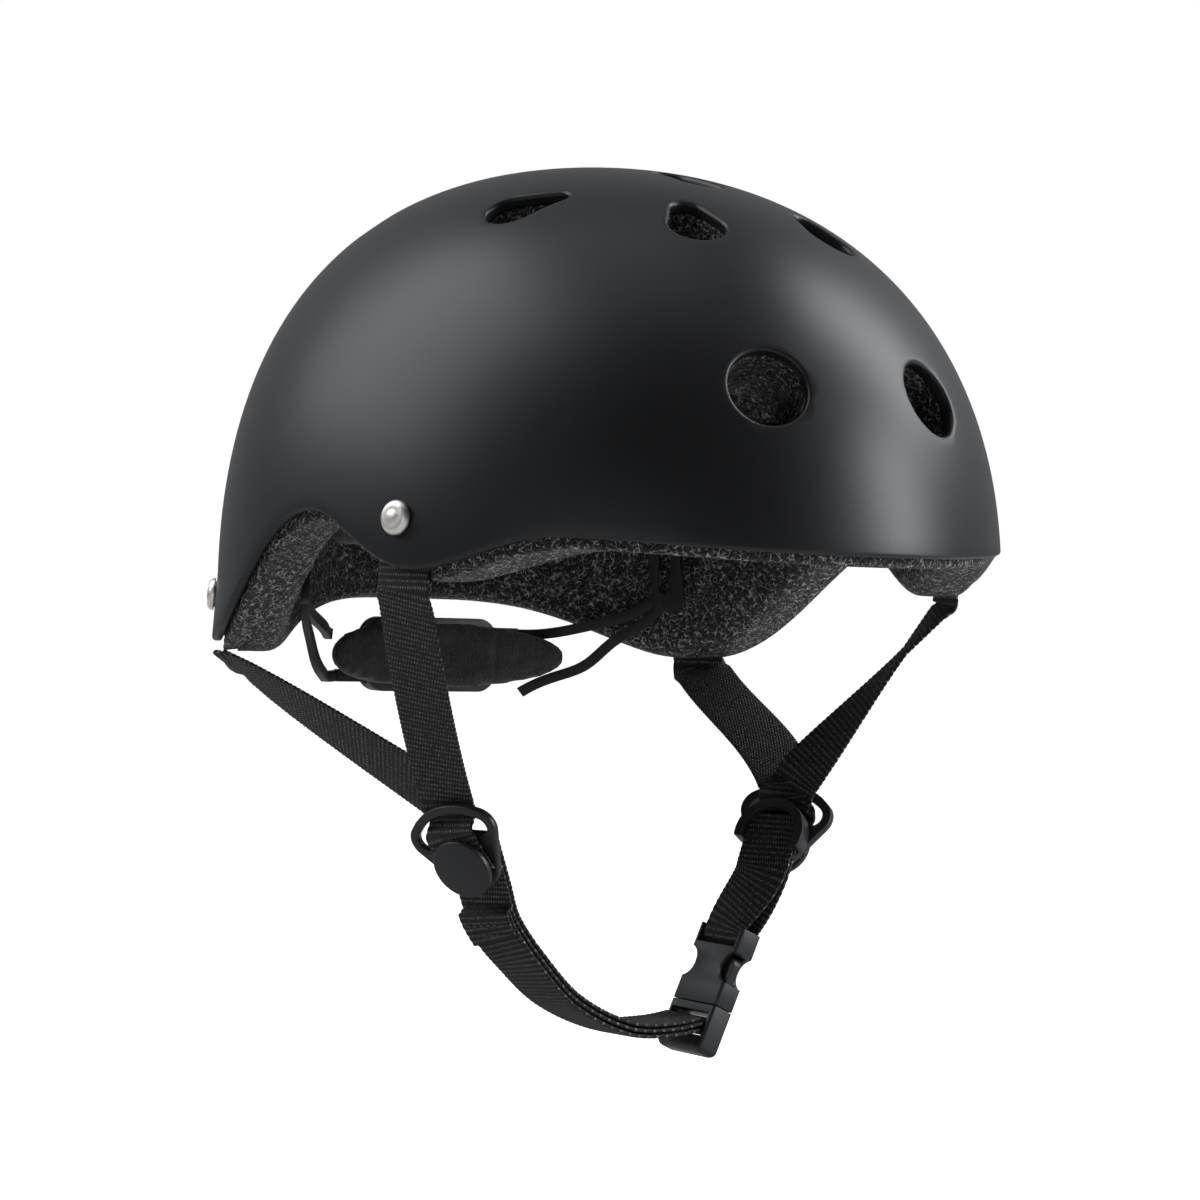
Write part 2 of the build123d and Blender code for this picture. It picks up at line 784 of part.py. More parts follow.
front_low = -side_lobe_drop - liner_below_rim - web_step
rear_low = -rear_lobe_drop - liner_below_rim - web_step
for name, side, share, height, low, layer in (
    ("front_strap_right", right, -front_rivet_share, front_rivet_rise, front_low, 0),
    ("rear_strap_right", right, rear_rivet_share, -rear_rivet_drop, rear_low, 1),
    ("front_strap_left", left, -front_rivet_share, front_rivet_rise, front_low, 1),
    ("rear_strap_left", left, rear_rivet_share, -rear_rivet_drop, rear_low, 0),
):
    with BuildPart() as strap:
        add(harness_strap(side, share, height, low, layer))
    strap.part.label = name
    export_step(strap.part, f"parts/{name}.step")

# Buckle: its face is turned to the wearer's right, Y runs up its length from the seam
lean = radians(buckle_lean)
buckle = Plane(
    origin=(buckle_side, -buckle_forward, -buckle_drop),
    x_dir=(0, -1, 0),
    z_dir=(-cos(lean), 0, sin(lean)),
)
buckle_length_axis = Axis(buckle.origin, buckle.y_dir)
half_width = buckle_width / 2
half_thick = buckle_thick / 2
window_radius = window_length / 2
window_middle = sleeve_length + window_radius
slot_low = sleeve_length + window_length + top_block_height
loop_bar_at = slot_low + web_slot_height + loop_bar_radius
socket_top = loop_bar_at + loop_bar_radius + ear_height
webbing_slot = web_width + 2 * web_gap
with BuildPart() as buckle_socket:
    with BuildSketch(buckle.offset(-half_thick)):
        Rectangle(buckle_width, socket_top, align=(Align.CENTER, Align.MIN))
    extrude(amount=buckle_thick)
    fillet(buckle_socket.edges().filter_by(buckle_length_axis), buckle_round)
    with BuildSketch(buckle):
        Rectangle(
            buckle_width - 2 * buckle_wall,
            sleeve_length + window_length,
            align=(Align.CENTER, Align.MIN),
        )
    extrude(amount=half_thick - buckle_wall, both=True, mode=Mode.SUBTRACT)
    with BuildSketch(buckle):
        for side in (-1, 1):
            with Locations((side * (half_width + window_radius - window_bite), window_middle)):
                Circle(window_radius)
    extrude(amount=buckle_thick, both=True, mode=Mode.SUBTRACT)
    with BuildSketch(buckle):
        with Locations((0, slot_low)):
            Rectangle(webbing_slot, socket_top, align=(Align.CENTER, Align.MIN))
    extrude(amount=buckle_thick, both=True, mode=Mode.SUBTRACT)
    bar_plane = Plane(
        origin=in_front(buckle, 0, loop_bar_at, 0), x_dir=buckle.y_dir, z_dir=buckle.x_dir
    )
    with BuildSketch(bar_plane):
        Circle(loop_bar_radius)
    extrude(amount=half_width - buckle_wall / 2, both=True)
buckle_socket.part.label = "buckle_socket"
export_step(buckle_socket.part, "parts/buckle_socket.step")

prong_centre = half_width - buckle_wall - prong_gap - prong_width / 2
ladder_bar_at = -plug_gap - plug_rail - plug_slot_height / 2
with BuildPart() as buckle_plug:
    with BuildSketch(buckle.offset(-half_thick)):
        with Locations((0, -plug_gap)):
            Rectangle(buckle_width, plug_length, align=(Align.CENTER, Align.MAX))
    extrude(amount=buckle_thick)
    fillet(buckle_plug.edges().filter_by(buckle_length_axis), buckle_round)
    low_edges = buckle_plug.edges().group_by(buckle_length_axis)[0]
    fillet(low_edges.filter_by(Axis(buckle.origin, buckle.x_dir)), plug_low_round)
    with BuildSketch(buckle):
        with Locations((0, ladder_bar_at)):
            Rectangle(webbing_slot, plug_slot_height)
    extrude(amount=buckle_thick, both=True, mode=Mode.SUBTRACT)
    ladder_plane = Plane(
        origin=in_front(buckle, 0, ladder_bar_at, 0), x_dir=buckle.y_dir, z_dir=buckle.x_dir
    )
    with BuildSketch(ladder_plane):
        Circle(ladder_bar_radius)
    extrude(amount=half_width - buckle_wall / 2, both=True)
    with BuildSketch(buckle):
        with Locations((0, -plug_gap - plug_rail / 2)):
            Rectangle(tongue_width, tongue_length + plug_rail / 2, align=(Align.CENTER, Align.MIN))
    extrude(amount=tongue_thick / 2, both=True)
    with BuildSketch(buckle):
        for side in (-1, 1):
            with Locations((side * prong_centre, -plug_gap)):
                Circle(prong_root_radius + anchor_pin_gap)
    extrude(amount=prong_thick / 2 + anchor_pin_gap, both=True, mode=Mode.SUBTRACT)
buckle_plug.part.label = "buckle_plug"
export_step(buckle_plug.part, "parts/buckle_plug.step")

# Prongs: each swings about its root in the plug and fills its window when fastened
prong_tip = sleeve_length + window_length - 2 * prong_gap
for side, name in ((-1, "buckle_prong_rear"), (1, "buckle_prong_front")):
    inner = prong_centre - prong_width / 2
    outer = prong_centre + prong_width / 2
    profile = [(side * outer, 0)]
    for span in range(5):
        height = sleeve_length + (prong_tip - prong_nose - sleeve_length) * span / 4
        room = prong_squeeze_share * prong_margin_share * (height - sleeve_length) * (height + plug_gap)
        profile.append((side * (outer + room), height))
    widest = outer + room
    nose_middle = ((widest + inner) / 2, prong_tip)
    with BuildPart() as prong:
        with BuildSketch(buckle):
            with BuildLine():
                Polyline(profile)
                ThreePointArc(
                    profile[-1],
                    (side * (inner + prong_width * prong_margin_share), prong_tip - prong_nose / 4),
                    (side * (inner + prong_width / 3), prong_tip),
                )
                Polyline(
                    (side * (inner + prong_width / 3), prong_tip),
                    (side * inner, prong_tip - prong_nose / 2),
                    (side * inner, 0),
                    (side * outer, 0),
                )
            make_face()
            with Locations((side * prong_centre, -plug_gap)):
                Circle(prong_root_radius)
        extrude(amount=prong_thick / 2, both=True)
    prong.part.label = name
    export_step(prong.part, f"parts/{name}.step")


# Chin straps
def bar_turn(height, radius, start, sweep, spans):
    """Stations round a bar of the buckle; the angle runs from its face towards its top."""
    stations = []
    for step in range(spans + 1):
        turn = radians(start + sweep * step / spans)
        spot = in_front(buckle, 0, height + radius * sin(turn), radius * cos(turn))
        way = buckle.y_dir * cos(turn) - buckle.z_dir * sin(turn)
        stations.append((spot, buckle.x_dir, way if sweep > 0 else -way))
    return stations


def backwards(stations):
    return [(spot, across, -way) for spot, across, way in reversed(stations)]


def lowered(stations, amount):
    """Stations moved off the outer face of the webbing, away from the head."""
    return [(spot + way.cross(across) * amount, across, way) for spot, across, way in stations]


# Left: one webbing looped round the socket's bar, both ends behind the ring
hang = ring_unit[left]
hang_across = -hang.x_dir
hang_way = -hang.y_dir
loop_turn = bar_turn(loop_bar_at, loop_bar_radius + web_gap + web_thick / 2, 0, -180, 6)
face_start = in_front(hang, 0, web_end_margin, -under_plate - web_step)
back_start = in_front(hang, 0, web_end_margin, -under_plate)
face_edge = in_front(hang, 0, -ring_hub_radius, -under_plate - web_step)
back_edge = in_front(hang, 0, -ring_hub_radius, -under_plate)
down_way = loop_turn[0][2]
with BuildPart() as chin_strap_left:
    face_run = run(face_edge, hang_way, loop_turn[0][0], down_way, hang_across, buckle.x_dir, 4)
    back_run = run(back_edge, hang_way, loop_turn[-1][0], down_way, hang_across, buckle.x_dir, 4)
    stations = [(face_start, hang_across, hang_way), (face_edge, hang_across, hang_way)]
    stations += face_run + loop_turn + backwards(back_run)
    stations += [(back_edge, hang_across, -hang_way), (back_start, hang_across, -hang_way)]
    add(ribbon(stations))
    with BuildSketch(rings[left]):
        Circle(pin_hole_radius)
    extrude(amount=ring_back, mode=Mode.SUBTRACT)
chin_strap_left.part.label = "chin_strap_left"
export_step(chin_strap_left.part, "parts/chin_strap_left.step")

# Right: a doubled webbing from the ring to the plug's ladder bar, and the loose tail back up
hang = ring_unit[right]
wrap_radius = ladder_bar_radius + web_gap + web_thick / 2
wrap = bar_turn(ladder_bar_at, wrap_radius, wrap_start, wrap_sweep, 6)
hub_start = (in_front(hang, 0, web_end_margin, -under_plate), hang.x_dir, -hang.y_dir)
hub_edge = (in_front(hang, 0, -ring_hub_radius, -under_plate), hang.x_dir, -hang.y_dir)
way_points = [hub_edge[0]]
way_points += [Vector(*shares) * shell_half_width for shares in chin_way_shares]
way_points.append(wrap[0][0])
with BuildLine() as chin_line:
    Spline(way_points, tangents=(hub_edge[2], wrap[0][2]))
chin_edge = chin_line.edge()
chin_spans = 16
chin_run = []
for step in range(1, chin_spans):
    share = step / chin_spans
    way = chin_edge.tangent_at(share).normalized()
    blend_across = hang.x_dir * (1 - share) + buckle.x_dir * share
    chin_run.append((chin_edge.position_at(share), tangent(blend_across, way), way))
fold = []
for step in range(1, 4):
    turn = radians(180 * step / 4)
    height = web_end_margin + web_step / 2 * sin(turn)
    depth = -under_plate - web_step / 2 * (1 + cos(turn))
    way = hang.y_dir * cos(turn) + hang.z_dir * sin(turn)
    fold.append((in_front(hang, 0, height, depth), hang.x_dir, way))
inner_layer = lowered([hub_start, hub_edge] + chin_run, -web_step)
with BuildPart() as chin_strap_right:
    add(ribbon(backwards(inner_layer) + fold + [hub_start, hub_edge] + chin_run + wrap))
    with BuildSketch(rings[right]):
        Circle(pin_hole_radius)
    extrude(amount=ring_back, mode=Mode.SUBTRACT)
chin_strap_right.part.label = "chin_strap_right"
export_step(chin_strap_right.part, "parts/chin_strap_right.step")

tail_turn = bar_turn(ladder_bar_at, wrap_radius, tail_start, tail_sweep, 4)
over_bar = (
    in_front(buckle, 0, ladder_bar_at - wrap_radius - web_gap, half_thick - web_gap),
    buckle.x_dir,
    (buckle.z_dir * 4 - buckle.y_dir).normalized(),
)
tail_run = backwards(lowered(chin_run[3:], web_step))
hem_run = backwards(lowered(chin_run[3:5], web_step + web_thick))
with BuildPart() as chin_strap_tail:
    add(ribbon(tail_turn + [over_bar] + tail_run))
    add(ribbon(hem_run))
chin_strap_tail.part.label = "chin_strap_tail"
export_step(chin_strap_tail.part, "parts/chin_strap_tail.step")

# Nape cradle: two arms on pins in the liner, joined behind the head by a dial and two racks
for side, name in ((right, "cradle_anchor_right"), (left, "cradle_anchor_left")):
    pin_plane = Plane(
        origin=(side * anchor_side, anchor_back, anchor_rise), x_dir=(0, 1, 0), z_dir=(side, 0, 0)
    )
    boss_half = anchor_boss_length / 2
    with BuildPart() as anchor:
        with BuildSketch(pin_plane):
            Circle(anchor_socket_radius)
        extrude(amount=anchor_socket_depth + anchor_boss_length - rivet_hole_gap)
        cavity_skin = rivet_hole_gap
        add(
            inset_dome(
                liner_side - cavity_skin,
                liner_front - cavity_skin,
                liner_rear - cavity_skin,
                liner_crown - cavity_skin,
                cut_overrun,
            ),
            mode=Mode.SUBTRACT,
        )
        with BuildSketch(pin_plane.offset(-boss_half - rack_side_gap - anchor_head_thick)):
            Circle(anchor_pin_radius)
        extrude(amount=anchor_socket_depth + anchor_boss_length)
        with BuildSketch(pin_plane.offset(-boss_half - rack_side_gap)):
            Circle(anchor_head_radius)
        extrude(amount=-anchor_head_thick)
    anchor.part.label = name
    export_step(anchor.part, f"parts/{name}.step")


def cradle_arm(side, upper_end, lower_end):
    """Arm of one side: its outline seen along a slanting line, cut from an upright curved band."""
    slant = Vector(side, 1, 0).normalized()
    view = Plane(origin=(0, 0, 0), x_dir=Vector(-side, 1, 0).normalized(), z_dir=slant)
    if view.y_dir.Z < 0:
        view = Plane(origin=(0, 0, 0), x_dir=-view.x_dir, z_dir=slant)
    flip = view.x_dir.Y / abs(view.x_dir.Y)

    def spots(shares):
        return [(flip * u * shell_half_width, v * shell_half_width) for u, v in shares]

    pin_u = view.to_local_coords(Vector(side * anchor_side, anchor_back, anchor_rise)).X
    with BuildPart() as arm:
        with BuildSketch():
            with BuildLine():
                Spline([(side * x * shell_half_width, y * shell_half_width) for x, y in arm_plan_shares])
            trace(line_width=cradle_band)
        extrude(amount=-shell_crown, both=True)
        with BuildPart(mode=Mode.PRIVATE) as outline:
            with BuildSketch(view):
                with BuildLine():
                    Spline(spots(arm_trunk_shares))
                trace(line_width=arm_width)
                with BuildLine():
                    Spline(spots(arm_upper_shares + [upper_end]))
                trace(line_width=arm_bar)
                with BuildLine():
                    Spline(spots(arm_lower_shares + [lower_end]))
                trace(line_width=arm_bar)
                with Locations((pin_u, anchor_rise)):
                    Circle(arm_width / 2)
                with Locations(spots(arm_trunk_shares)[-1]):
                    Circle(arm_width / 2)
                with Locations(spots([arm_slot_share])[0]):
                    SlotOverall(arm_slot_length, arm_slot_width, rotation=90, mode=Mode.SUBTRACT)
            extrude(amount=2 * shell_half_width)
        add(outline.part, mode=Mode.INTERSECT)
        pin_plane = Plane(
            origin=(side * anchor_side, anchor_back, anchor_rise), x_dir=(0, 1, 0), z_dir=(side, 0, 0)
        )
        with BuildSketch(pin_plane):
            Circle(anchor_boss_radius)
        extrude(amount=anchor_boss_length / 2, both=True)
        with BuildSketch(pin_plane):
            Circle(anchor_pin_radius + anchor_pin_gap)
        extrude(amount=shell_half_width, both=True, mode=Mode.SUBTRACT)
        with BuildSketch(Plane.YZ):
            Rectangle(4 * shell_half_width, 4 * shell_half_width)
        extrude(amount=rack_reach + rack_side_gap, both=True, mode=Mode.SUBTRACT)
    return arm.part


for side, name, upper_end, lower_end in (
    (right, "cradle_arm_right", arm_upper_free_share, arm_lower_rack_share),
    (left, "cradle_arm_left", arm_upper_rack_share, arm_lower_free_share),
):
    with BuildPart() as arm:
        add(cradle_arm(side, upper_end, lower_end))
    arm.part.label = name
    export_step(arm.part, f"parts/{name}.step")

# Dial drive: a pinion on the dial's axis pulls two toothed racks past each other
pitch_radius = pinion_teeth * rack_pitch / 2 / pi
tooth_tip = pitch_radius + rack_tooth * tooth_tip_share
tooth_root = pitch_radius - rack_tooth * (1 - tooth_tip_share)
rack_root = pitch_radius + rack_tooth * (1 - tooth_tip_share)
rack_tip = pitch_radius - rack_tooth * tooth_tip_share
rack_back = rack_root + rack_height
inner_wall = nape_reach + housing_wall
rack_face = inner_wall + housing_gap
cover_seat = rack_face + rack_thick + housing_gap
cover_back = cover_seat + rivet_hole_gap + housing_wall
dial_seat = cover_back + housing_gap
rear_view = Plane(origin=(0, 0, -nape_drop), x_dir=(-1, 0, 0), z_dir=(0, 1, 0))


def rack_tooth_points(middle, tip, root, facing):
    half_tip = rack_pitch * tooth_narrow_share / 2
    half_root = rack_pitch * tooth_wide_share / 2
    return [
        (middle - half_root, facing * root),
        (middle - half_tip, facing * tip),
        (middle + half_tip, facing * tip),
        (middle + half_root, facing * root),
    ]


# Seen from behind, X runs to the wearer's right: the left rack lies above the pinion
for side, name, facing, shift in ((left, "rack_left", 1, 0.5), (right, "rack_right", -1, 0)):
    with BuildPart() as rack:
        with BuildSketch(rear_view.offset(rack_face)):
            length = rack_reach + rack_far_reach
            with Locations((-side * (rack_reach - length / 2), facing * (rack_root + rack_height / 2))):
                Rectangle(length, rack_height)
            for number in range(rack_teeth):
                middle = -side * (number + shift - rack_lead_teeth) * rack_pitch
                Polygon(
                    *rack_tooth_points(middle, rack_tip, rack_root + rivet_hole_gap, facing), align=None
                )
        extrude(amount=rack_thick)
    rack.part.label = name
    export_step(rack.part, f"parts/{name}.step")

pinion_points = []
for number in range(pinion_teeth):
    turn = 2 * pi * number / pinion_teeth
    wide = rack_pitch * tooth_wide_share / 2 / tooth_root
    narrow = rack_pitch * tooth_narrow_share / 2 / tooth_tip
    corners = [(-wide, tooth_root), (-narrow, tooth_tip), (narrow, tooth_tip), (wide, tooth_root)]
    for angle, radius in corners:
        pinion_points.append((radius * sin(turn + angle), radius * cos(turn + angle)))
stub_depth = housing_wall - housing_gap
with BuildPart() as dial_pinion:
    with BuildSketch(rear_view.offset(rack_face)):
        Polygon(*reversed(pinion_points), align=None)
    extrude(amount=rack_thick)
    with BuildSketch(rear_view.offset(rack_face + rack_thick)):
        Circle(shaft_radius)
    extrude(amount=dial_seat + dial_thick / 2 - rack_face - rack_thick)
    with BuildSketch(rear_view.offset(rack_face)):
        Circle(pinion_stub_radius)
    extrude(amount=-housing_gap - stub_depth)
    with BuildSketch(rear_view.offset(dial_seat + dial_thick / 2)):
        Circle(screw_shank_radius + shaft_gap)
    extrude(amount=rack_face - dial_seat - dial_thick / 2, mode=Mode.SUBTRACT)
dial_pinion.part.label = "dial_pinion"
export_step(dial_pinion.part, "parts/dial_pinion.step")

with BuildPart() as dial_knob:
    with BuildSketch(rear_view.offset(dial_seat)):
        Circle(dial_radius)
        with PolarLocations(dial_radius + dial_grip_radius / 3, dial_grips):
            Circle(dial_grip_radius, mode=Mode.SUBTRACT)
    extrude(amount=dial_thick)
    chamfer(dial_knob.faces().sort_by(Axis.Y)[-1].outer_wire().edges(), dial_round / 2)
    with BuildSketch(rear_view.offset(dial_seat)):
        Circle(dial_recess_radius)
    extrude(amount=dial_recess_depth, mode=Mode.SUBTRACT)
    with BuildSketch(rear_view.offset(dial_seat)):
        Circle(shaft_radius + shaft_gap)
    extrude(amount=dial_thick / 2 + rivet_hole_gap, mode=Mode.SUBTRACT)
    with BuildSketch(rear_view.offset(dial_seat)):
        Circle(screw_shank_radius + rivet_hole_gap)
    extrude(amount=dial_thick, mode=Mode.SUBTRACT)
    with BuildSketch(rear_view.offset(dial_seat + dial_thick)):
        Circle(screw_head_radius + rivet_hole_gap)
    extrude(amount=-screw_head_height - rivet_hole_gap, mode=Mode.SUBTRACT)
dial_knob.part.label = "dial_knob"
export_step(dial_knob.part, "parts/dial_knob.step")

with BuildPart() as dial_screw:
    with BuildSketch(rear_view.offset(dial_seat + dial_thick)):
        Circle(screw_head_radius)
    extrude(amount=-screw_head_height)
    with BuildSketch(rear_view.offset(dial_seat + dial_thick)):
        Circle(screw_shank_radius)
    extrude(amount=rack_face + rack_thick / 2 - dial_seat - dial_thick)
    with BuildSketch(rear_view.offset(dial_seat + dial_thick)):
        Rectangle(screw_head_radius, screw_slot_width)
        Rectangle(screw_slot_width, screw_head_radius)
    extrude(amount=-screw_head_height / 2, mode=Mode.SUBTRACT)
dial_screw.part.label = "dial_screw"
export_step(dial_screw.part, "parts/dial_screw.step")

# Housing: tray for the racks, open at one end of each, with a cover the dial turns on
with BuildPart() as nape_housing:
    with BuildSketch(rear_view.offset(nape_reach)):
        RectangleRounded(housing_width, housing_height, housing_round)
    extrude(amount=cover_seat - nape_reach)
    with BuildSketch(rear_view.offset(inner_wall)):
        Rectangle(housing_width - 2 * housing_wall, 2 * (rack_back + housing_gap))
        for side, facing in ((left, 1), (right, -1)):
            mouth = rack_height + 2 * housing_gap
            with Locations((-side * housing_width / 2, facing * (rack_root + rack_height / 2))):
                Rectangle(housing_width, mouth)
    extrude(amount=cover_seat - inner_wall, mode=Mode.SUBTRACT)
    with BuildSketch(rear_view.offset(nape_reach)):
        Circle(pinion_stub_radius + shaft_gap)
    extrude(amount=housing_wall, mode=Mode.SUBTRACT)
nape_housing.part.label = "nape_housing"
export_step(nape_housing.part, "parts/nape_housing.step")

with BuildPart() as housing_cover:
    with BuildSketch(rear_view.offset(cover_seat + rivet_hole_gap)):
        RectangleRounded(housing_width, housing_height, housing_round)
        Circle(shaft_radius + shaft_gap, mode=Mode.SUBTRACT)
    extrude(amount=housing_wall)
housing_cover.part.label = "housing_cover"
export_step(housing_cover.part, "parts/housing_cover.step")

# Detent spring: a flat ring on the cover with two sprung fingers inside the dial
with BuildPart() as detent_spring:
    with BuildSketch(rear_view.offset(cover_back + rivet_hole_gap / 2)):
        Circle(detent_radius)
        Circle(detent_radius - detent_band, mode=Mode.SUBTRACT)
        Rectangle(2 * dial_recess_radius - 4 * housing_gap, detent_band)
        Circle(shaft_radius + housing_gap, mode=Mode.SUBTRACT)
    extrude(amount=detent_thick)
detent_spring.part.label = "detent_spring"
export_step(detent_spring.part, "parts/detent_spring.step")

# Nape pad: curved cushion on the head side of the housing, in front of the arms
pad_back = nape_reach - rack_side_gap
pad_front = pad_back - nape_pad_thick
with BuildPart() as nape_pad:
    with BuildSketch():
        Ellipse(nape_pad_half_curve, nape_pad_back_curve)
        Ellipse(shell_half_width, pad_front, mode=Mode.SUBTRACT)
    extrude(amount=-2 * nape_drop)
    with BuildSketch(rear_view):
        RectangleRounded(nape_pad_width, nape_pad_height, nape_pad_round)
    extrude(amount=pad_back, mode=Mode.INTERSECT)
nape_pad.part.label = "nape_pad"
export_step(nape_pad.part, "parts/nape_pad.step")
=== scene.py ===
# %% [markdown]
# A skate helmet, dressed for its picture.
# The helmet comes into this scene as a fixed frame: every piece is already at its real size and
# place. Blender's work is the finish, so this lesson goes through the helmet piece by piece, says
# what each one is on the real thing, and makes a surface for it that holds up close to the camera.
# The helpers work in millimetres, because that is how such a product is drawn, and each finished
# mesh is brought to metres once, at the end.

# %% The frame
from math import acos, asin, atan2, cos, hypot, pi, radians, sin, sqrt

import bmesh
import bpy
from mathutils import Matrix, Vector
from mathutils.bvhtree import BVHTree
from mathutils.geometry import convex_hull_2d
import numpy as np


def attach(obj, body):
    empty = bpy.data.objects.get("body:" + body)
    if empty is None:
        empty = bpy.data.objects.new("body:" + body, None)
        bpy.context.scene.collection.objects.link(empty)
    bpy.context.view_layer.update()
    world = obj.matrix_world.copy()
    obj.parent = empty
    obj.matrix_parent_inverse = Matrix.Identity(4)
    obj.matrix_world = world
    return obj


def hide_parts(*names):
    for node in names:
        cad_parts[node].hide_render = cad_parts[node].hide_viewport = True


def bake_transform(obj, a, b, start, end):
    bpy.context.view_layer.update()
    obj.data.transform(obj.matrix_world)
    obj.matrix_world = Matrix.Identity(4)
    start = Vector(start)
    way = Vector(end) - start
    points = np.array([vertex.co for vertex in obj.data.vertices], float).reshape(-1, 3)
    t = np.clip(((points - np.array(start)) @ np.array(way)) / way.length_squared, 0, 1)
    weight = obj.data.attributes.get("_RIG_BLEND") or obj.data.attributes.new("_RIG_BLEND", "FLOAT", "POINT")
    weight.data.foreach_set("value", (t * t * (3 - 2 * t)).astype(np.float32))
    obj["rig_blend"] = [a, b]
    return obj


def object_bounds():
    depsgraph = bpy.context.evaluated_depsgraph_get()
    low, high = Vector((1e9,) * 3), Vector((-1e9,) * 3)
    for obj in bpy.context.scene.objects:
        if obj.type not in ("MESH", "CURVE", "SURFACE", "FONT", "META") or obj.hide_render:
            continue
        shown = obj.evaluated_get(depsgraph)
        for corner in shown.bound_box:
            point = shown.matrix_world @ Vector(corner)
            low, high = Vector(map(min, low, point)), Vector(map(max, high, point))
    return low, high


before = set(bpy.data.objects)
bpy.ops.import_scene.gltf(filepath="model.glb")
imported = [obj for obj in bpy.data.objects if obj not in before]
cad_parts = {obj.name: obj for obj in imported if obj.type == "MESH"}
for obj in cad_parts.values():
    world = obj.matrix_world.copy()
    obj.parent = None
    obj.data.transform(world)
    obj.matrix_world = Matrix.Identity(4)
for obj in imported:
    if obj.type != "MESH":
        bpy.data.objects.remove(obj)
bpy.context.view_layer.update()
millimetre = 0.001
right, left = -1, 1
print("nodes in the frame:", len(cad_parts))

# %% [markdown]
# The camera comes first, because everything after it is judged through it.
# The photograph looks at the helmet from its front right corner, level with the rim, from about a
# metre away. A lens of 99 mm on a 36 mm sensor gives the same foreshortening at that distance.

# %% The camera
view_turn = radians(-35.26)
view_pitch = radians(0.29)
view_roll = radians(1.77)
view_distance = 1000.0
view_aside = 1.9
view_height = -13.15
camera_back = Vector((sin(view_turn), -cos(view_turn), 0))
camera_right = Vector((cos(view_turn), sin(view_turn), 0))


def make_camera():
    lens = bpy.data.cameras.new("camera")
    lens.lens = 99
    lens.sensor_width = 36
    camera = bpy.data.objects.new("camera", lens)
    bpy.context.scene.collection.objects.link(camera)
    back = camera_back * cos(view_pitch) + Vector((0, 0, sin(view_pitch)))
    spot = camera_right * view_aside + back.cross(camera_right) * view_height + back * view_distance
    camera.location = spot * millimetre
    aim = (-back).to_track_quat("-Z", "Y").to_matrix()
    camera.rotation_euler = (aim @ Matrix.Rotation(view_roll, 3, "Z")).to_euler()
    bpy.context.scene.camera = camera
    return camera


camera = make_camera()
print("camera at", [round(x, 3) for x in camera.location])

# %% [markdown]
# Two small helpers carry every piece into the scene.
# settle turns a bmesh in millimetres into a finished object at the origin, points its faces
# outwards, shades it smooth apart from real corners, and puts it on the body that it moves with.


# %% Bringing a piece into the scene
def settle(bm, name, body, material, stands_for=(), corner=40, turn_out=True):
    bmesh.ops.scale(bm, vec=Vector((millimetre,) * 3), verts=bm.verts)
    if turn_out:
        bmesh.ops.recalc_face_normals(bm, faces=bm.faces)
    mesh = bpy.data.meshes.new(name)
    bm.to_mesh(mesh)
    bm.free()
    mesh.shade_smooth()
    mesh.set_sharp_from_angle(angle=radians(corner))
    piece = bpy.data.objects.new(name, mesh)
    bpy.context.scene.collection.objects.link(piece)
    if material:
        mesh.materials.append(material)
    if body:
        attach(piece, body)
    if stands_for:
        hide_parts(*stands_for)
    return piece


def seat(origin, x_way, z_way):
    """A place as a matrix: its X and Z ways, with Y at right angles to both."""
    x, z = Vector(x_way).normalized(), Vector(z_way).normalized()
    y = z.cross(x)
    turn = Matrix((x, y, z)).transposed().to_4x4()
    return Matrix.Translation(Vector(origin)) @ turn


def at(place, u, v, depth=0):
    return place @ Vector((u, v, depth))


def way_of(place, index):
    return place.to_3x3().col[index].copy()


def tangent(way, normal):
    return (way - normal * way.dot(normal)).normalized()


# %% [markdown]
# The helmet's outside is one egg-shaped dome.
# Its level sections are half ellipses, longer in front than behind, and its upright outline is one
# cubic curve from the widest line to the crown, which leans back a little. Below the widest line a
# short skirt flares out. The same curve, drawn in by a margin, gives the inside of the shell, the
# foam and its cavity, so one function places every point of all of them.

# %% The dome
half_width = 110.0
front_reach = 136.0
rear_reach = 124.0
crown_rise = 117.0
crown_lean = 6.6
widest_drop = 8.0
fullness_share = 0.624
skirt_flare_share = 1.5 / 26
shell_wall = 3.0
halvings = 30
no_inset = (0, 0, 0, 0)
shell_inset = (shell_wall,) * 4
liner_outer_inset = (3.6, 3.6, 3.6, 3.6)
liner_inner_inset = (21.6, 24.1, 24.1, 27.6)


def dome_curve(t):
    s = 1 - t
    radius = s**3 + 3 * t * s**2 + 3 * fullness_share * t**2 * s
    rise = 3 * fullness_share * t * s**2 + 3 * t**2 * s + t**3
    return radius, rise


def where_on_curve(index, value):
    low, high = 0.0, 1.0
    for _ in range(halvings):
        middle = (low + high) / 2
        reached = dome_curve(middle)[index]
        past = reached < value if index == 0 else reached > value
        low, high = (low, middle) if past else (middle, high)
    return low


def t_at_height(height, inset=no_inset):
    """Place along the outline for a height; it is negative on the skirt."""
    rise = crown_rise - inset[3] + widest_drop
    above = height + widest_drop
    return above / (3 * fullness_share * rise) if above < 0 else where_on_curve(1, above / rise)


def dome_spot(angle, t, inset=no_inset):
    side, front, rear, top = inset
    rise = crown_rise - top + widest_drop
    reach = front_reach - front if sin(angle) < 0 else rear_reach - rear
    if t < 0:
        above = 3 * fullness_share * rise * t
        radius = 1 - skirt_flare_share * above / (half_width - side)
    else:
        radius, share = dome_curve(t)
        above = share * rise
    lean = crown_lean * max(0, above / rise) ** 2
    across = (half_width - side) * radius * cos(angle)
    return Vector((across, reach * radius * sin(angle) + lean, above - widest_drop))


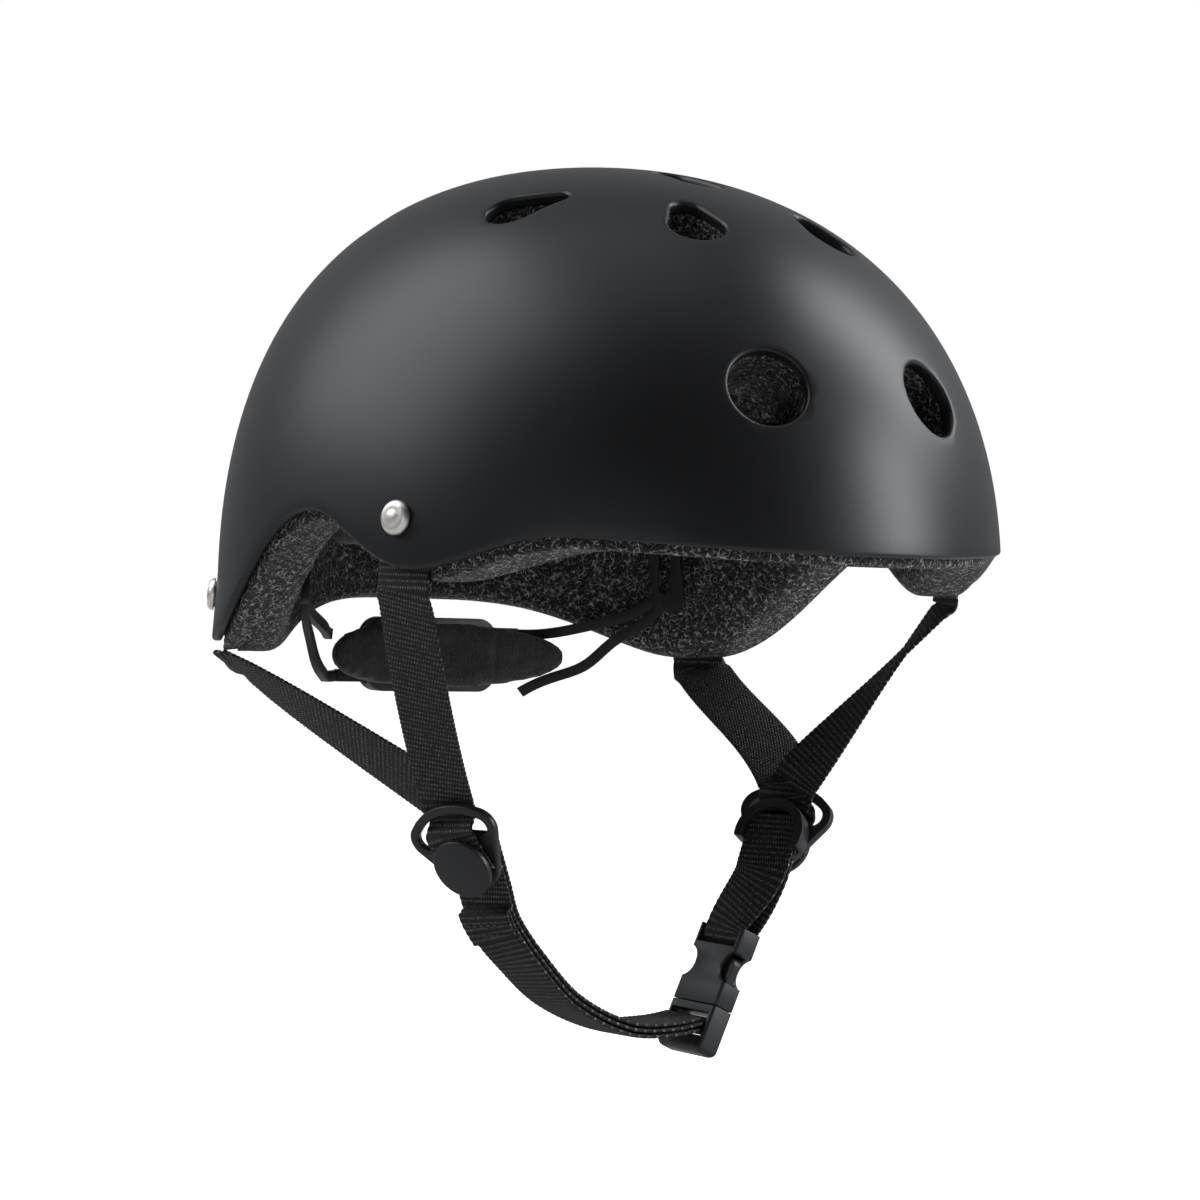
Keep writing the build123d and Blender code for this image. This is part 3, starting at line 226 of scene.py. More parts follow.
def dome_normal(angle, t):
    small = 0.001
    along = dome_spot(angle + small, t) - dome_spot(angle - small, t)
    up = dome_spot(angle, t + small) - dome_spot(angle, t - small)
    return along.cross(up).normalized()


def side_spot(y_share, height, side):
    """Point and normal of the dome's side at a height, for a place along its length."""
    t = t_at_height(height)
    radius = 1 - skirt_flare_share * (height + widest_drop) / half_width if t < 0 else dome_curve(t)[0]
    angle = asin(y_share / radius)
    angle = angle if side == left else pi - angle
    return dome_spot(angle, t), dome_normal(angle, t)


def crown_spot(x_share, y_share):
    t = where_on_curve(0, hypot(x_share, y_share))
    angle = atan2(y_share, x_share)
    return dome_spot(angle, t), dome_normal(angle, t)


print("dome height above the rim:", crown_rise, "mm")

# %% [markdown]
# The rim rises over the brow and the ears and drops in two lobes that carry the rivets.
# Seen from the side it is a chain of soft steps, level at each end, so a smooth step between named
# places draws it.

# %% The rim
rim_knots = [
    (-142.0, 1.0),
    (-0.69 * front_reach, 3.8),
    (-0.397 * front_reach, -6.0),
    (-0.10 * front_reach, 10.0),
    (0.50 * rear_reach, -29.0),
    (0.86 * rear_reach, -12.0),
    (130.0, -12.0),
]


def rim_height(y):
    for (y0, z0), (y1, z1) in zip(rim_knots, rim_knots[1:]):
        if y <= y1:
            s = (y - y0) / (y1 - y0)
            return z0 + (z1 - z0) * s * s * (3 - 2 * s)
    return rim_knots[-1][1]


# %% [markdown]
# The shell and the foam liner are both walls that follow this dome down to this rim.
# A spin makes such a wall in one step, but only with a level edge. So the flat profile carries
# three numbers at each vertex: how deep in the wall it lies, how far above the rim, and how far
# along to the crown. The spin copies them, and afterwards each vertex is moved to the place that
# its numbers name. The edge then follows the rim with clean rows of faces, and it is round.


# %% Walls on the dome
round_steps, flat_steps = 6, 4
flat_reach, flat_rim, flat_wall = 100, 5, 40
rim_rounds = 10


def wall_profile(rows, wall, outer_round, inner_round):
    """Depth share, lift above the rim and share of the way to the crown, from outer to inner pole."""
    profile = [(0.0, outer_round, 1 - row / rows) for row in range(rows + 1)]
    for step in range(1, round_steps + 1):
        turn = pi / 2 * step / round_steps
        profile.append((outer_round * (1 - cos(turn)) / wall, outer_round * (1 - sin(turn)), 0.0))
    flat = wall - outer_round - inner_round
    for step in range(1, flat_steps):
        profile.append(((outer_round + flat * step / flat_steps) / wall, 0.0, 0.0))
    for step in range(round_steps + 1):
        turn = pi / 2 * step / round_steps
        profile.append((1 - inner_round * (1 - sin(turn)) / wall, inner_round * (1 - cos(turn)), 0.0))
    profile += [(1.0, inner_round, row / rows) for row in range(1, rows + 1)]
    return profile


def dome_wall(profile, columns, outer_inset, inner_inset, drop):
    bm = bmesh.new()
    wall, lift, level = (bm.verts.layers.float.new(name) for name in ("wall", "lift", "level"))
    last = None
    for depth, height, share in profile:
        reach = flat_reach * (1 - share) + flat_rim * height * (share == 0)
        vert = bm.verts.new((reach, 0, flat_wall * depth - height))
        vert[wall], vert[lift], vert[level] = depth, height, share
        if last:
            bm.edges.new((last, vert))
        last = vert
    bmesh.ops.spin(
        bm,
        geom=bm.verts[:] + bm.edges[:],
        cent=(0, 0, 0),
        axis=(0, 0, 1),
        angle=2 * pi,
        steps=columns,
        use_merge=True,
    )
    bmesh.ops.remove_doubles(bm, verts=bm.verts, dist=0.0001)
    starts = {}
    for vert in bm.verts:
        inset = tuple(o + (i - o) * vert[wall] for o, i in zip(outer_inset, inner_inset))
        angle = atan2(vert.co.y, vert.co.x)
        key = (round(angle, 4), round(vert[wall], 4), round(vert[lift], 4))
        if key not in starts:
            height = 0.0
            for _ in range(rim_rounds):
                spot = dome_spot(angle, t_at_height(height, inset), inset)
                height = rim_height(spot.y) - drop + vert[lift]
            starts[key] = t_at_height(height, inset)
        start = starts[key]
        vert.co = dome_spot(angle, start + (1 - start) * vert[level], inset)
    for name in ("wall", "lift", "level"):
        bm.verts.layers.float.remove(bm.verts.layers.float[name])
    bmesh.ops.recalc_face_normals(bm, faces=bm.faces)
    return bm

# %% [markdown]
# The vents are round holes and teardrops, each with a rolled lip.
# The lip is where the light catches, so it has to be real shape. It is made by the cutter: instead
# of a plain prism, the cutter is a trumpet whose mouth widens in a quarter round and follows the
# dome under it, so the boolean leaves the rolled edge behind.

# %% Vent outlines and their places
side_tear_size = (24.5, 8.0, 3.0)
end_tear_size = (22.5, 8.2, 4.6)
slot_length, slot_radius = 29.0, 6.5
round_vent_radius = 11.2
round_vent_rise = 46.3
round_vent_side_share = 0.261
tear_place_shares = [
    (0.487, -0.306, 0.0, -0.44, side_tear_size),
    (0.210, -0.592, 0.0, 0.0, end_tear_size),
    (0.487, 0.290, 0.0, 0.44, side_tear_size),
    (0.212, 0.600, 0.0, 0.0, end_tear_size),
]
crown_slot_share = 0.34


def hull_outline(length, big, small, count=72, widest_step=2.5):
    """Points and outward ways of a big and a small circle's hull, the small one towards +X."""
    first, second = big - length / 2, length / 2 - small
    apart = second - first
    switch = acos((big - small) / apart) if apart > 0.01 else 0.0
    outline = []
    for number in range(count):
        turn = 2 * pi * number / count - pi
        near_small = abs(turn) < switch
        middle, radius = (second, small) if near_small else (first, big)
        way = Vector((cos(turn), sin(turn), 0))
        outline.append((Vector((middle, 0, 0)) + way * radius, way))
    full = []
    for (spot, way), (next_spot, next_way) in zip(outline, outline[1:] + outline[:1]):
        pieces = max(1, round((next_spot - spot).length / widest_step))
        for step in range(pieces):
            share = step / pieces
            full.append((spot.lerp(next_spot, share), way.lerp(next_way, share).normalized()))
    return full


def vent_places():
    """Each vent's seat on the dome, with its outline."""
    vents = []
    for x_share, y_share, aim_x_share, aim_y_share, size in tear_place_shares:
        for side in (right, left):
            spot, normal = crown_spot(side * x_share, y_share)
            reach = front_reach if y_share < 0 else rear_reach
            aim = Vector((side * aim_x_share * half_width, aim_y_share * reach, spot.z))
            vents.append((seat(spot, tangent(aim - spot, normal), normal), size))
    rise_t = t_at_height(round_vent_rise)
    y_share = sqrt(dome_curve(rise_t)[0] ** 2 - round_vent_side_share**2)
    for end in (-1, 1):
        for side in (right, left):
            spot, normal = crown_spot(side * round_vent_side_share, end * y_share)
            size = (2 * round_vent_radius, round_vent_radius, round_vent_radius)
            vents.append((seat(spot, tangent(Vector((1, 0, 0)), normal), normal), size))
    spot, normal = crown_spot(0, -crown_slot_share)
    size = (slot_length, slot_radius, slot_radius)
    vents.append((seat(spot, tangent(Vector((0, 1, 0)), normal), normal), size))
    return vents


vents = vent_places()
print("vents:", len(vents))


# %% Cutters and carving
def loop_of(bm, spots):
    verts = [bm.verts.new(spot) for spot in spots]
    return [bm.edges.new(pair) for pair in zip(verts, verts[1:] + verts[:1])]


def grow_loop(bm, edges, spots):
    """Extrudes a loop of edges and moves the new loop's vertices to the given spots."""
    made = bmesh.ops.extrude_edge_only(bm, edges=edges)["geom"]
    old = ordered(edges)
    partner = {}
    for face in (item for item in made if isinstance(item, bmesh.types.BMFace)):
        for edge in face.edges:
            ends = [vert for vert in edge.verts if vert in old]
            if len(ends) == 1:
                partner[ends[0]] = edge.other_vert(ends[0])
    for vert, spot in zip(old, spots):
        partner[vert].co = spot
    fresh = [partner[vert] for vert in old]
    return [bm.edges.get(pair) for pair in zip(fresh, fresh[1:] + fresh[:1])]


def ordered(edges):
    """Start vertices of a closed loop of edges, in order."""
    chain = []
    for edge, following in zip(edges, edges[1:] + edges[:1]):
        shared = [vert for vert in edge.verts if vert in following.verts][0]
        chain.append(edge.other_vert(shared))
    return chain


def tube_of(loops):
    """Closed solid through a row of loops with equal counts."""
    bm = bmesh.new()
    edges = loop_of(bm, loops[0])
    bm.faces.new(ordered(edges))
    for spots in loops[1:]:
        edges = grow_loop(bm, edges, spots)
    bm.faces.new(ordered(edges))
    bmesh.ops.recalc_face_normals(bm, faces=bm.faces)
    return bm


def to_object(bm, name):
    mesh = bpy.data.meshes.new(name)
    bm.to_mesh(mesh)
    bm.free()
    item = bpy.data.objects.new(name, mesh)
    bpy.context.scene.collection.objects.link(item)
    return item


def carve(bm, cutters):
    """The bmesh less its cutters, by an exact boolean."""
    blank = to_object(bm, "blank")
    tools = bpy.data.collections.new("tools")
    bpy.context.scene.collection.children.link(tools)
    items = [to_object(cutter, "cutter") for cutter in cutters]
    for item in items:
        tools.objects.link(item)
    cut = blank.modifiers.new("cut", "BOOLEAN")
    cut.operation = "DIFFERENCE"
    cut.operand_type = "COLLECTION"
    cut.collection = tools
    cut.solver = "EXACT"
    shaped = blank.evaluated_get(bpy.context.evaluated_depsgraph_get()).to_mesh()
    result = bmesh.new()
    result.from_mesh(shaped)
    for item in items + [blank]:
        bpy.data.objects.remove(item)
    bpy.data.collections.remove(tools)
    return result


probe_rows, probe_columns, probe_drop = 40, 160, 20
probe_start = 40
lip_start = radians(14)
lip_steps = 6
mouth_rise, mouth_spare = 12, 1.0


def dome_probe():
    """A tree of the plain outer dome, to drop points onto it."""
    rows = [(0.0, 0.0, 1 - row / probe_rows) for row in range(probe_rows + 1)]
    bm = dome_wall(rows, probe_columns, no_inset, no_inset, probe_drop)
    tree = BVHTree.FromBMesh(bm)
    bm.free()
    return tree


def onto_dome(tree, place, u, v, sink):
    """Point straight above or below local u, v on the dome, sunk along the vent's axis."""
    way = way_of(place, 2)
    hit = tree.ray_cast(at(place, u, v, probe_start), -way)[0]
    return hit - way * sink


def trumpet(tree, place, outline, lip, depth):
    """Cutter that leaves a rolled lip where it passes the dome."""
    slope = sin(lip_start) / cos(lip_start)
    loops = [[at(place, *(spot + way * (lip + mouth_spare)).xy, mouth_rise) for spot, way in outline]]
    rows = [(lip * (1 - sin(lip_start)) + mouth_spare, lip * (1 - cos(lip_start)) - slope)]
    for step in range(lip_steps + 1):
        turn = lip_start + (pi / 2 - lip_start) * step / lip_steps
        rows.append((lip * (1 - sin(turn)), lip * (1 - cos(turn))))
    for outset, sink in rows + [(0, depth)]:
        loops.append([onto_dome(tree, place, *(spot + way * outset).xy, sink) for spot, way in outline])
    return tube_of(loops)


probe = dome_probe()

# %% [markdown]
# The hard shell is injection moulded and matt black.
# It is one wall, 3 mm thick, with its lower edge rounded. Its vents get the trumpet cutters.

# %% The shell
shell_lip, shell_outer_round, shell_inner_round = 1.3, 1.3, 0.8
shell_rows, shell_columns = 54, 224
shell_cut_depth = 9


def make_shell():
    profile = wall_profile(shell_rows, shell_wall, shell_outer_round, shell_inner_round)
    bm = dome_wall(profile, shell_columns, no_inset, shell_inset, 0)
    cutters = []
    for place, size in vents:
        cutters.append(trumpet(probe, place, hull_outline(*size), shell_lip, shell_cut_depth))
    return carve(bm, cutters)


shell_mesh = make_shell()
print("shell faces:", len(shell_mesh.faces))

# %% [markdown]
# Materials start with the effects that several of them share.
# Each effect is a node group with its own inputs, built once. A group gives only a mask or a
# height, and the material decides what to do with it. All of them read Object coordinates in
# metres or a webbing's own UV map, so a pattern keeps its real size on every piece.


# %% Building node groups and materials
def new_group(name, inputs, outputs):
    group = bpy.data.node_groups.new(name, "ShaderNodeTree")
    for title, kind, value in inputs:
        socket = group.interface.new_socket(title, in_out="INPUT", socket_type=kind)
        if value is not None:
            socket.default_value = value
    for title, kind in outputs:
        group.interface.new_socket(title, in_out="OUTPUT", socket_type=kind)
    return group, group.nodes.new("NodeGroupInput"), group.nodes.new("NodeGroupOutput")


def node(tree, kind, values=(), **settings):
    """A node with its settings, and its inputs by name or number as values or sockets."""
    made = tree.nodes.new(kind)
    for name, value in settings.items():
        setattr(made, name, value)
    for key, value in dict(values).items():
        if isinstance(value, bpy.types.NodeSocket):
            tree.links.new(value, made.inputs[key])
        else:
            made.inputs[key].default_value = value
    return made


def maths(tree, operation, first, second=0.0, third=0.0, clamp=False):
    values = {0: first, 1: second, 2: third}
    return node(tree, "ShaderNodeMath", values, operation=operation, use_clamp=clamp).outputs[0]


def noise(tree, place, scale, detail, output=0):
    values = {"Vector": place, "Scale": scale, "Detail": detail}
    return node(tree, "ShaderNodeTexNoise", values).outputs[output]


def ramp(tree, value, low, high, first=0.0, last=1.0):
    """A value that runs from low to high, stretched to run from first to last."""
    values = {0: value, 1: low, 2: high, 3: first, 4: last}
    return node(tree, "ShaderNodeMapRange", values).outputs[0]


def preset(shader, **values):
    for title, value in values.items():
        shader.inputs[title.replace("_", " ")].default_value = value


def blend_colour(tree, share, first, second):
    mixed = node(tree, "ShaderNodeMix", {0: share, 6: first, 7: second}, data_type="RGBA")
    return mixed.outputs[2]


def colour(red, green=None, blue=None):
    return (red, red if green is None else green, red if blue is None else blue, 1)


def place_group(tree, name, **values):
    made = tree.nodes.new("ShaderNodeGroup")
    made.node_tree = bpy.data.node_groups[name]
    for title, value in values.items():
        title = title.replace("_", " ")
        if isinstance(value, bpy.types.NodeSocket):
            tree.links.new(value, made.inputs[title])
        else:
            made.inputs[title].default_value = value
    return made


def new_material(name):
    material = bpy.data.materials.new(name)
    material.use_nodes = True
    tree = material.node_tree
    tree.nodes.clear()
    shader = node(tree, "ShaderNodeBsdfPrincipled")
    out = node(tree, "ShaderNodeOutputMaterial")
    tree.links.new(shader.outputs[0], out.inputs[0])
    place = node(tree, "ShaderNodeTexCoord").outputs["Object"]
    return material, tree, shader, place


def bump_into(tree, shader, height, strength, distance):
    bump = node(tree, "ShaderNodeBump", {"Strength": strength, "Distance": distance, "Height": height})
    tree.links.new(bump.outputs[0], shader.inputs["Normal"])


# %% The shared effects
def make_grain_group():
    """Fine moulded texture: a height and a slow unevenness of the gloss."""
    group, inputs, outputs = new_group(
        "moulded grain",
        [("Place", "NodeSocketVector", None), ("Grains", "NodeSocketFloat", 900.0)],
        [("Height", "NodeSocketFloat"), ("Unevenness", "NodeSocketFloat")],
    )
    where, grains = inputs.outputs["Place"], inputs.outputs["Grains"]
    group.links.new(noise(group, where, grains, 3.0), outputs.inputs["Height"])
    group.links.new(noise(group, where, 24.0, 5.0), outputs.inputs["Unevenness"])


def make_bead_group():
    """Moulded bead foam: swollen beads and dark seams between them in the height, and a painted highlight,
    the Glint mask, along patches of the seams and on a few facets.
    """
    group, inputs, outputs = new_group(
        "foam beads",
        [("Place", "NodeSocketVector", None), ("Beads", "NodeSocketFloat", 420.0)],
        [("Height", "NodeSocketFloat"), ("Glint", "NodeSocketFloat")],
    )
    where, beads = inputs.outputs["Place"], inputs.outputs["Beads"]
    stir = noise(group, where, 260.0, 4.0, output=1)
    push = node(group, "ShaderNodeVectorMath", {0: stir, "Scale": 0.004}, operation="SCALE")
    moved = node(group, "ShaderNodeVectorMath", {0: where, 1: push.outputs[0]}, operation="ADD")
    values = {"Vector": moved.outputs[0], "Scale": beads}
    seam = node(group, "ShaderNodeTexVoronoi", values, feature="DISTANCE_TO_EDGE")
    swell = maths(group, "MULTIPLY", seam.outputs[0], 3.2, clamp=True)
    crumbs = noise(group, where, 1500.0, 4.0)
    rough = maths(group, "MULTIPLY_ADD", crumbs, 0.7, swell)
    cells = node(group, "ShaderNodeTexVoronoi", values, feature="F1")
    pick = node(group, "ShaderNodeSeparateColor", {0: cells.outputs[1]})
    # Painted highlight: the Glint mask lightens the colour along patches of the seams and on a few facets,
    # where the foam's skin would reflect.
    seam_highlight = ramp(group, seam.outputs[0], 0.01, 0.10, 0.7, 0.0)
    edge_glint = maths(group, "MULTIPLY", seam_highlight, ramp(group, noise(group, where, 620.0, 4.0), 0.44, 0.62))
    chosen, fleck_highlight = ramp(group, pick.outputs[0], 0.55, 0.98), ramp(group, crumbs, 0.52, 0.68)
    facet_glint = maths(group, "MULTIPLY", chosen, fleck_highlight)
    both = maths(group, "MULTIPLY_ADD", facet_glint, 0.35, edge_glint, clamp=True)
    group.links.new(rough, outputs.inputs["Height"])
    group.links.new(both, outputs.inputs["Glint"])


def make_weave_group():
    """Ribbed webbing: yarn bulges along each rib, set over by half a step on the next one."""
    group, inputs, outputs = new_group(
        "webbing weave",
        [
            ("Route", "NodeSocketVector", None),
            ("Rib", "NodeSocketFloat", 1.75),
            ("Yarn", "NodeSocketFloat", 0.9),
        ],
        [("Height", "NodeSocketFloat"), ("Crest", "NodeSocketFloat")],
    )
    split = node(group, "ShaderNodeSeparateXYZ", {0: inputs.outputs["Route"]})
    across, along = split.outputs[0], split.outputs[1]
    rib = maths(group, "DIVIDE", along, inputs.outputs["Rib"])
    row = maths(group, "MODULO", maths(group, "FLOOR", rib), 2.0)
    yarn = maths(group, "MULTIPLY_ADD", row, 0.5, maths(group, "DIVIDE", across, inputs.outputs["Yarn"]))
    bulge, crest = (
        maths(group, "ABSOLUTE", maths(group, "SINE", maths(group, "MULTIPLY", wave, pi)))
        for wave in (yarn, rib)
    )
    # Crest is a sharp mask on the tops of the yarn bulges, where the webbing material paints a highlight.
    for title, bulge_power, crest_power in (("Height", 0.6, 0.5), ("Crest", 4.0, 6.0)):
        shares = maths(group, "POWER", bulge, bulge_power), maths(group, "POWER", crest, crest_power)
        group.links.new(maths(group, "MULTIPLY", *shares), outputs.inputs[title])


make_grain_group()
make_bead_group()
make_weave_group()

# %% [markdown]
# The plastics differ by gloss more than by colour.
# The shell is a soft charcoal with a very fine grain, and the fittings are a little smoother. The
# grain goes into the bump, and its slow unevenness into the roughness, so that no highlight is
# perfectly even.


# %% The plastics, the foam and the metal
def make_plastic(name, base, roughness, grains, depth, spread):
    material, tree, shader, place = new_material(name)
    grain = place_group(tree, "moulded grain", Place=place, Grains=grains)
    uneven = grain.outputs["Unevenness"]
    darker = tuple(share * 0.88 for share in base[:3]) + (1,)
    tree.links.new(blend_colour(tree, uneven, darker, base), shader.inputs["Base Color"])
    gloss = maths(tree, "MULTIPLY_ADD", uneven, spread, roughness - spread / 2)
    tree.links.new(gloss, shader.inputs["Roughness"])
    preset(shader, Specular_Tint=colour(0.90, 0.94, 1.0))
    bump_into(tree, shader, grain.outputs["Height"], 0.5, depth)
    return material


def make_foam():
    material, tree, shader, place = new_material("bead foam")
    beads = place_group(tree, "foam beads", Place=place, Beads=620.0)
    glint = beads.outputs["Glint"]
    # Painted highlight: the Glint mask lifts the base colour from near black up to 0.85.
    tree.links.new(blend_colour(tree, glint, colour(0.012), colour(0.85)), shader.inputs["Base Color"])
    tree.links.new(maths(tree, "MULTIPLY_ADD", glint, -0.25, 0.62), shader.inputs["Roughness"])
    bump_into(tree, shader, beads.outputs["Height"], 0.9, 0.0005)
    return material


def make_metal(name, base, roughness):
    material, tree, shader, place = new_material(name)
    grain = place_group(tree, "moulded grain", Place=place, Grains=1500.0)
    preset(shader, Metallic=1.0, Base_Color=base)
    gloss = maths(tree, "MULTIPLY_ADD", grain.outputs["Unevenness"], 0.12, roughness)
    tree.links.new(gloss, shader.inputs["Roughness"])
    bump_into(tree, shader, grain.outputs["Height"], 0.35, 0.00006)
    return material


shell_black = colour(0.010, 0.0102, 0.0112)
fitting_black = colour(0.022, 0.022, 0.023)
shell_plastic = make_plastic("shell plastic", shell_black, 0.40, 1100.0, 0.00004, 0.08)
fitting_plastic = make_plastic("fitting plastic", fitting_black, 0.40, 900.0, 0.00004, 0.1)
cradle_plastic = make_plastic("cradle plastic", colour(0.014), 0.5, 700.0, 0.00005, 0.1)
knob_rubber = make_plastic("knob rubber", colour(0.016), 0.75, 500.0, 0.0001, 0.1)
bead_foam = make_foam()
rivet_metal = make_metal("rivet metal", colour(0.96, 0.94, 0.91), 0.36)
spring_steel = make_metal("spring steel", colour(0.55, 0.55, 0.56), 0.28)
black_steel = make_metal("black steel", colour(0.035), 0.42)

# %% [markdown]
# The foam liner sits inside the shell and shows at the rim and through the vents.
# It is the same kind of wall, three millimetres lower than the shell, with a broad round inner
# edge. Straight prisms carry the vents through it, boxes at the rim leave room for the webbing,
# and two round holes take the cradle's anchors.

# %% The foam liner
web_width, web_thick, web_gap = 18.0, 1.4, 0.3
web_step = web_thick + web_gap
web_depth = shell_wall + 0.4 + web_gap + web_thick / 2
front_rivet_share, front_rivet_rise = 0.368, 8.0
rear_rivet_share, rear_rivet_drop = 0.548, 15.0
liner_drop = 3.0
front_rivet_spots = [side_spot(-front_rivet_share, front_rivet_rise, side) for side in (right, left)]
rear_rivet_spots = [side_spot(rear_rivet_share, -rear_rivet_drop, side) for side in (right, left)]
anchor_side, anchor_back, anchor_rise = 64.0, 56.0, 14.0
anchor_radius, anchor_depths = 6.6, (-4, 13)
liner_rows, liner_columns = 40, 192
liner_wall, liner_outer_round, liner_inner_round = 18.0, 1.5, 6.0
vent_depths = (-46, 12)
channel_size = (web_width + 2, -60, 8, -4.2, 12)


def block(place, width, low, high, near, far):
    bm = bmesh.new()
    bmesh.ops.create_cube(bm, size=1)
    bmesh.ops.scale(bm, vec=(width, high - low, far - near), verts=bm.verts)
    bmesh.ops.translate(bm, vec=(0, (high + low) / 2, (near + far) / 2), verts=bm.verts)
    bmesh.ops.transform(bm, matrix=place, verts=bm.verts)
    return bm


def rod(place, radius, near, far, sides=48):
    bm = bmesh.new()
    sizes = {"radius1": radius, "radius2": radius, "depth": far - near}
    bmesh.ops.create_cone(bm, cap_ends=True, segments=sides, **sizes)
    bmesh.ops.translate(bm, vec=(0, 0, (near + far) / 2), verts=bm.verts)
    bmesh.ops.transform(bm, matrix=place, verts=bm.verts)
    return bm


def prism(place, outline, near, far):
    return tube_of([[at(place, *spot.xy, depth) for spot, way in outline] for depth in (near, far)])


def make_liner():
    profile = wall_profile(liner_rows, liner_wall, liner_outer_round, liner_inner_round)
    bm = dome_wall(profile, liner_columns, liner_outer_inset, liner_inner_inset, liner_drop)
    cutters = [prism(place, hull_outline(*size), *vent_depths) for place, size in vents]
    for spot, normal in front_rivet_spots + rear_rivet_spots:
        flat = Vector((normal.x, normal.y, 0)).normalized()
        place = seat(spot - flat * shell_wall, Vector((0, 0, 1)).cross(flat), flat)
        cutters.append(block(place, *channel_size))
    for side in (right, left):
        place = seat((side * anchor_side, anchor_back, anchor_rise), (0, 1, 0), (side, 0, 0))
        cutters.append(rod(place, anchor_radius, *anchor_depths))
    return carve(bm, cutters)


settle(shell_mesh, "moulded_shell", "helmet", shell_plastic, ["shell"], 50)
moulded_liner = settle(make_liner(), "moulded_liner", "helmet", bead_foam, ["foam_liner"])
print("liner faces:", len(moulded_liner.data.polygons))

# %% [markdown]
# The harness is woven webbing, 18 mm wide, with ribs across it.
# Each strap is woven straight first: a grid is rolled into a flat tube, ribbed by moving its
# vertices, and given a UV map in millimetres. Then the whole strip is bent along its route. A route
# is a short row of stations, each a point, the way across and the way along, and it is worked out
# from the rivets, the rings and the buckle that the strap joins.

# %% Weaving a strap and bending it along its route
rib_pitch = 1.75
rows_a_rib = 5
round_rows = 36
side_power, face_power = 0.35, 0.30
groove_share, edge_share = 0.66, 0.985


def travelled(stations, grain=0.25):
    """Fine points along a route, with the distance gone at each."""
    fine, gone = [], 0.0
    for (p0, a0, w0), (p1, a1, w1) in zip(stations, stations[1:]):
        chord = (p1 - p0).length
        steps = max(1, round(chord / grain))
        for step in range(steps):
            s = step / steps
            h1, h2 = 2 * s**3 - 3 * s**2 + 1, s**3 - 2 * s**2 + s
            h3, h4 = 3 * s**2 - 2 * s**3, s**3 - s**2
            spot = p0 * h1 + w0 * (chord * h2) + p1 * h3 + w1 * (chord * h4)
            if fine:
                gone += (spot - fine[-1][1]).length
            fine.append((gone, spot, a0.lerp(a1, s)))
    gone += (stations[-1][0] - fine[-1][1]).length
    fine.append((gone, stations[-1][0], stations[-1][1]))
    return fine


def flatter(x, power):
    return abs(x) ** power * (1 if x > 0 else -1)


def edge_shape(share):
    """Place round the strap's section: flat faces with rounded edges."""
    turn = 2 * pi * share
    return web_width / 2 * flatter(cos(turn), side_power), web_thick / 2 * flatter(sin(turn), face_power)


def weave(name, stations, stands_for, body="helmet"):
    fine = travelled(stations)
    length = fine[-1][0]
    rows = round(length / rib_pitch * rows_a_rib)
    bm = bmesh.new()
    route = bm.loops.layers.uv.new("route")
    bmesh.ops.create_grid(bm, x_segments=round_rows, y_segments=rows, size=0.5)
    for face in bm.faces:
        for loop in face.loops:
            x, y = loop.vert.co.x + 0.5, loop.vert.co.y + 0.5
            middle = face.calc_center_median().x + 0.5
            u = edge_shape(0.999 if x > 0.999 and middle > 0.5 else x)[0]
            loop[route].uv = (u, y * length)
    index = 0
    for vert in sorted(bm.verts, key=lambda v: v.co.y):
        round_share, gone = vert.co.x + 0.5, (vert.co.y + 0.5) * length
        while index < len(fine) - 2 and fine[index + 1][0] < gone:
            index += 1
        (g0, p0, a0), (g1, p1, a1) = fine[index], fine[index + 1]
        share = min(1, max(0, (gone - g0) / max(g1 - g0, 0.0001)))
        spot, across = p0.lerp(p1, share), a0.lerp(a1, share)
        low, high = max(index - 2, 0), min(index + 3, len(fine) - 1)
        way = (fine[high][1] - fine[low][1]).normalized()
        across = tangent(across, way)
        u, v = edge_shape(round_share)
        ridge = sqrt(0.5 + 0.5 * cos(2 * pi * gone / rib_pitch))
        v *= groove_share + (1 - groove_share) * ridge
        u *= edge_share + (1 - edge_share) * ridge
        vert.co = spot + across * u + across.cross(way) * v
    bmesh.ops.remove_doubles(bm, verts=bm.verts, dist=0.001)
    bmesh.ops.holes_fill(bm, edges=[edge for edge in bm.edges if edge.is_boundary])
    return settle(bm, name, body, webbing, [stands_for], 60)


# %% Stations between two ends
def run(start, start_way, end, end_way, start_across, end_across, spans, pull=0.33, twist=1.0):
    """Stations on one cubic curve, without its ends; pull is the length of its handles."""
    handle = (end - start).length * pull
    bend = [start, start + start_way * handle, end - end_way * handle, end]
    stations = []
    for step in range(1, spans):
        t = step / spans
        s = 1 - t
        spot = bend[0] * s**3 + bend[1] * (3 * t * s**2) + bend[2] * (3 * t**2 * s) + bend[3] * t**3
        way = (bend[1] - bend[0]) * s**2 + (bend[2] - bend[1]) * (2 * t * s) + (bend[3] - bend[2]) * t**2
        way = way.normalized()
        turned = t**twist
        stations.append((spot, tangent(start_across * (1 - turned) + end_across * turned, way), way))
    return stations


def backwards(stations):
    return [(spot, across, -way) for spot, across, way in reversed(stations)]


def lowered(stations, amount):
    """Stations moved off the outer face of the webbing, away from the head."""
    return [(spot + way.cross(across) * amount, across, way) for spot, across, way in stations]


# %% [markdown]
# A ring below each ear gathers the front strap, the rear strap and the chin strap.
# It is a flat moulding with soft edges: a round hub, an arched bar over it and a window between
# them. The outer strap passes behind the bar, comes out through the window and ends under a thin
# round cap. The other strap comes in aslant and is caught behind the bar. Towards the head, a hood
# stands round the end of the chin strap.

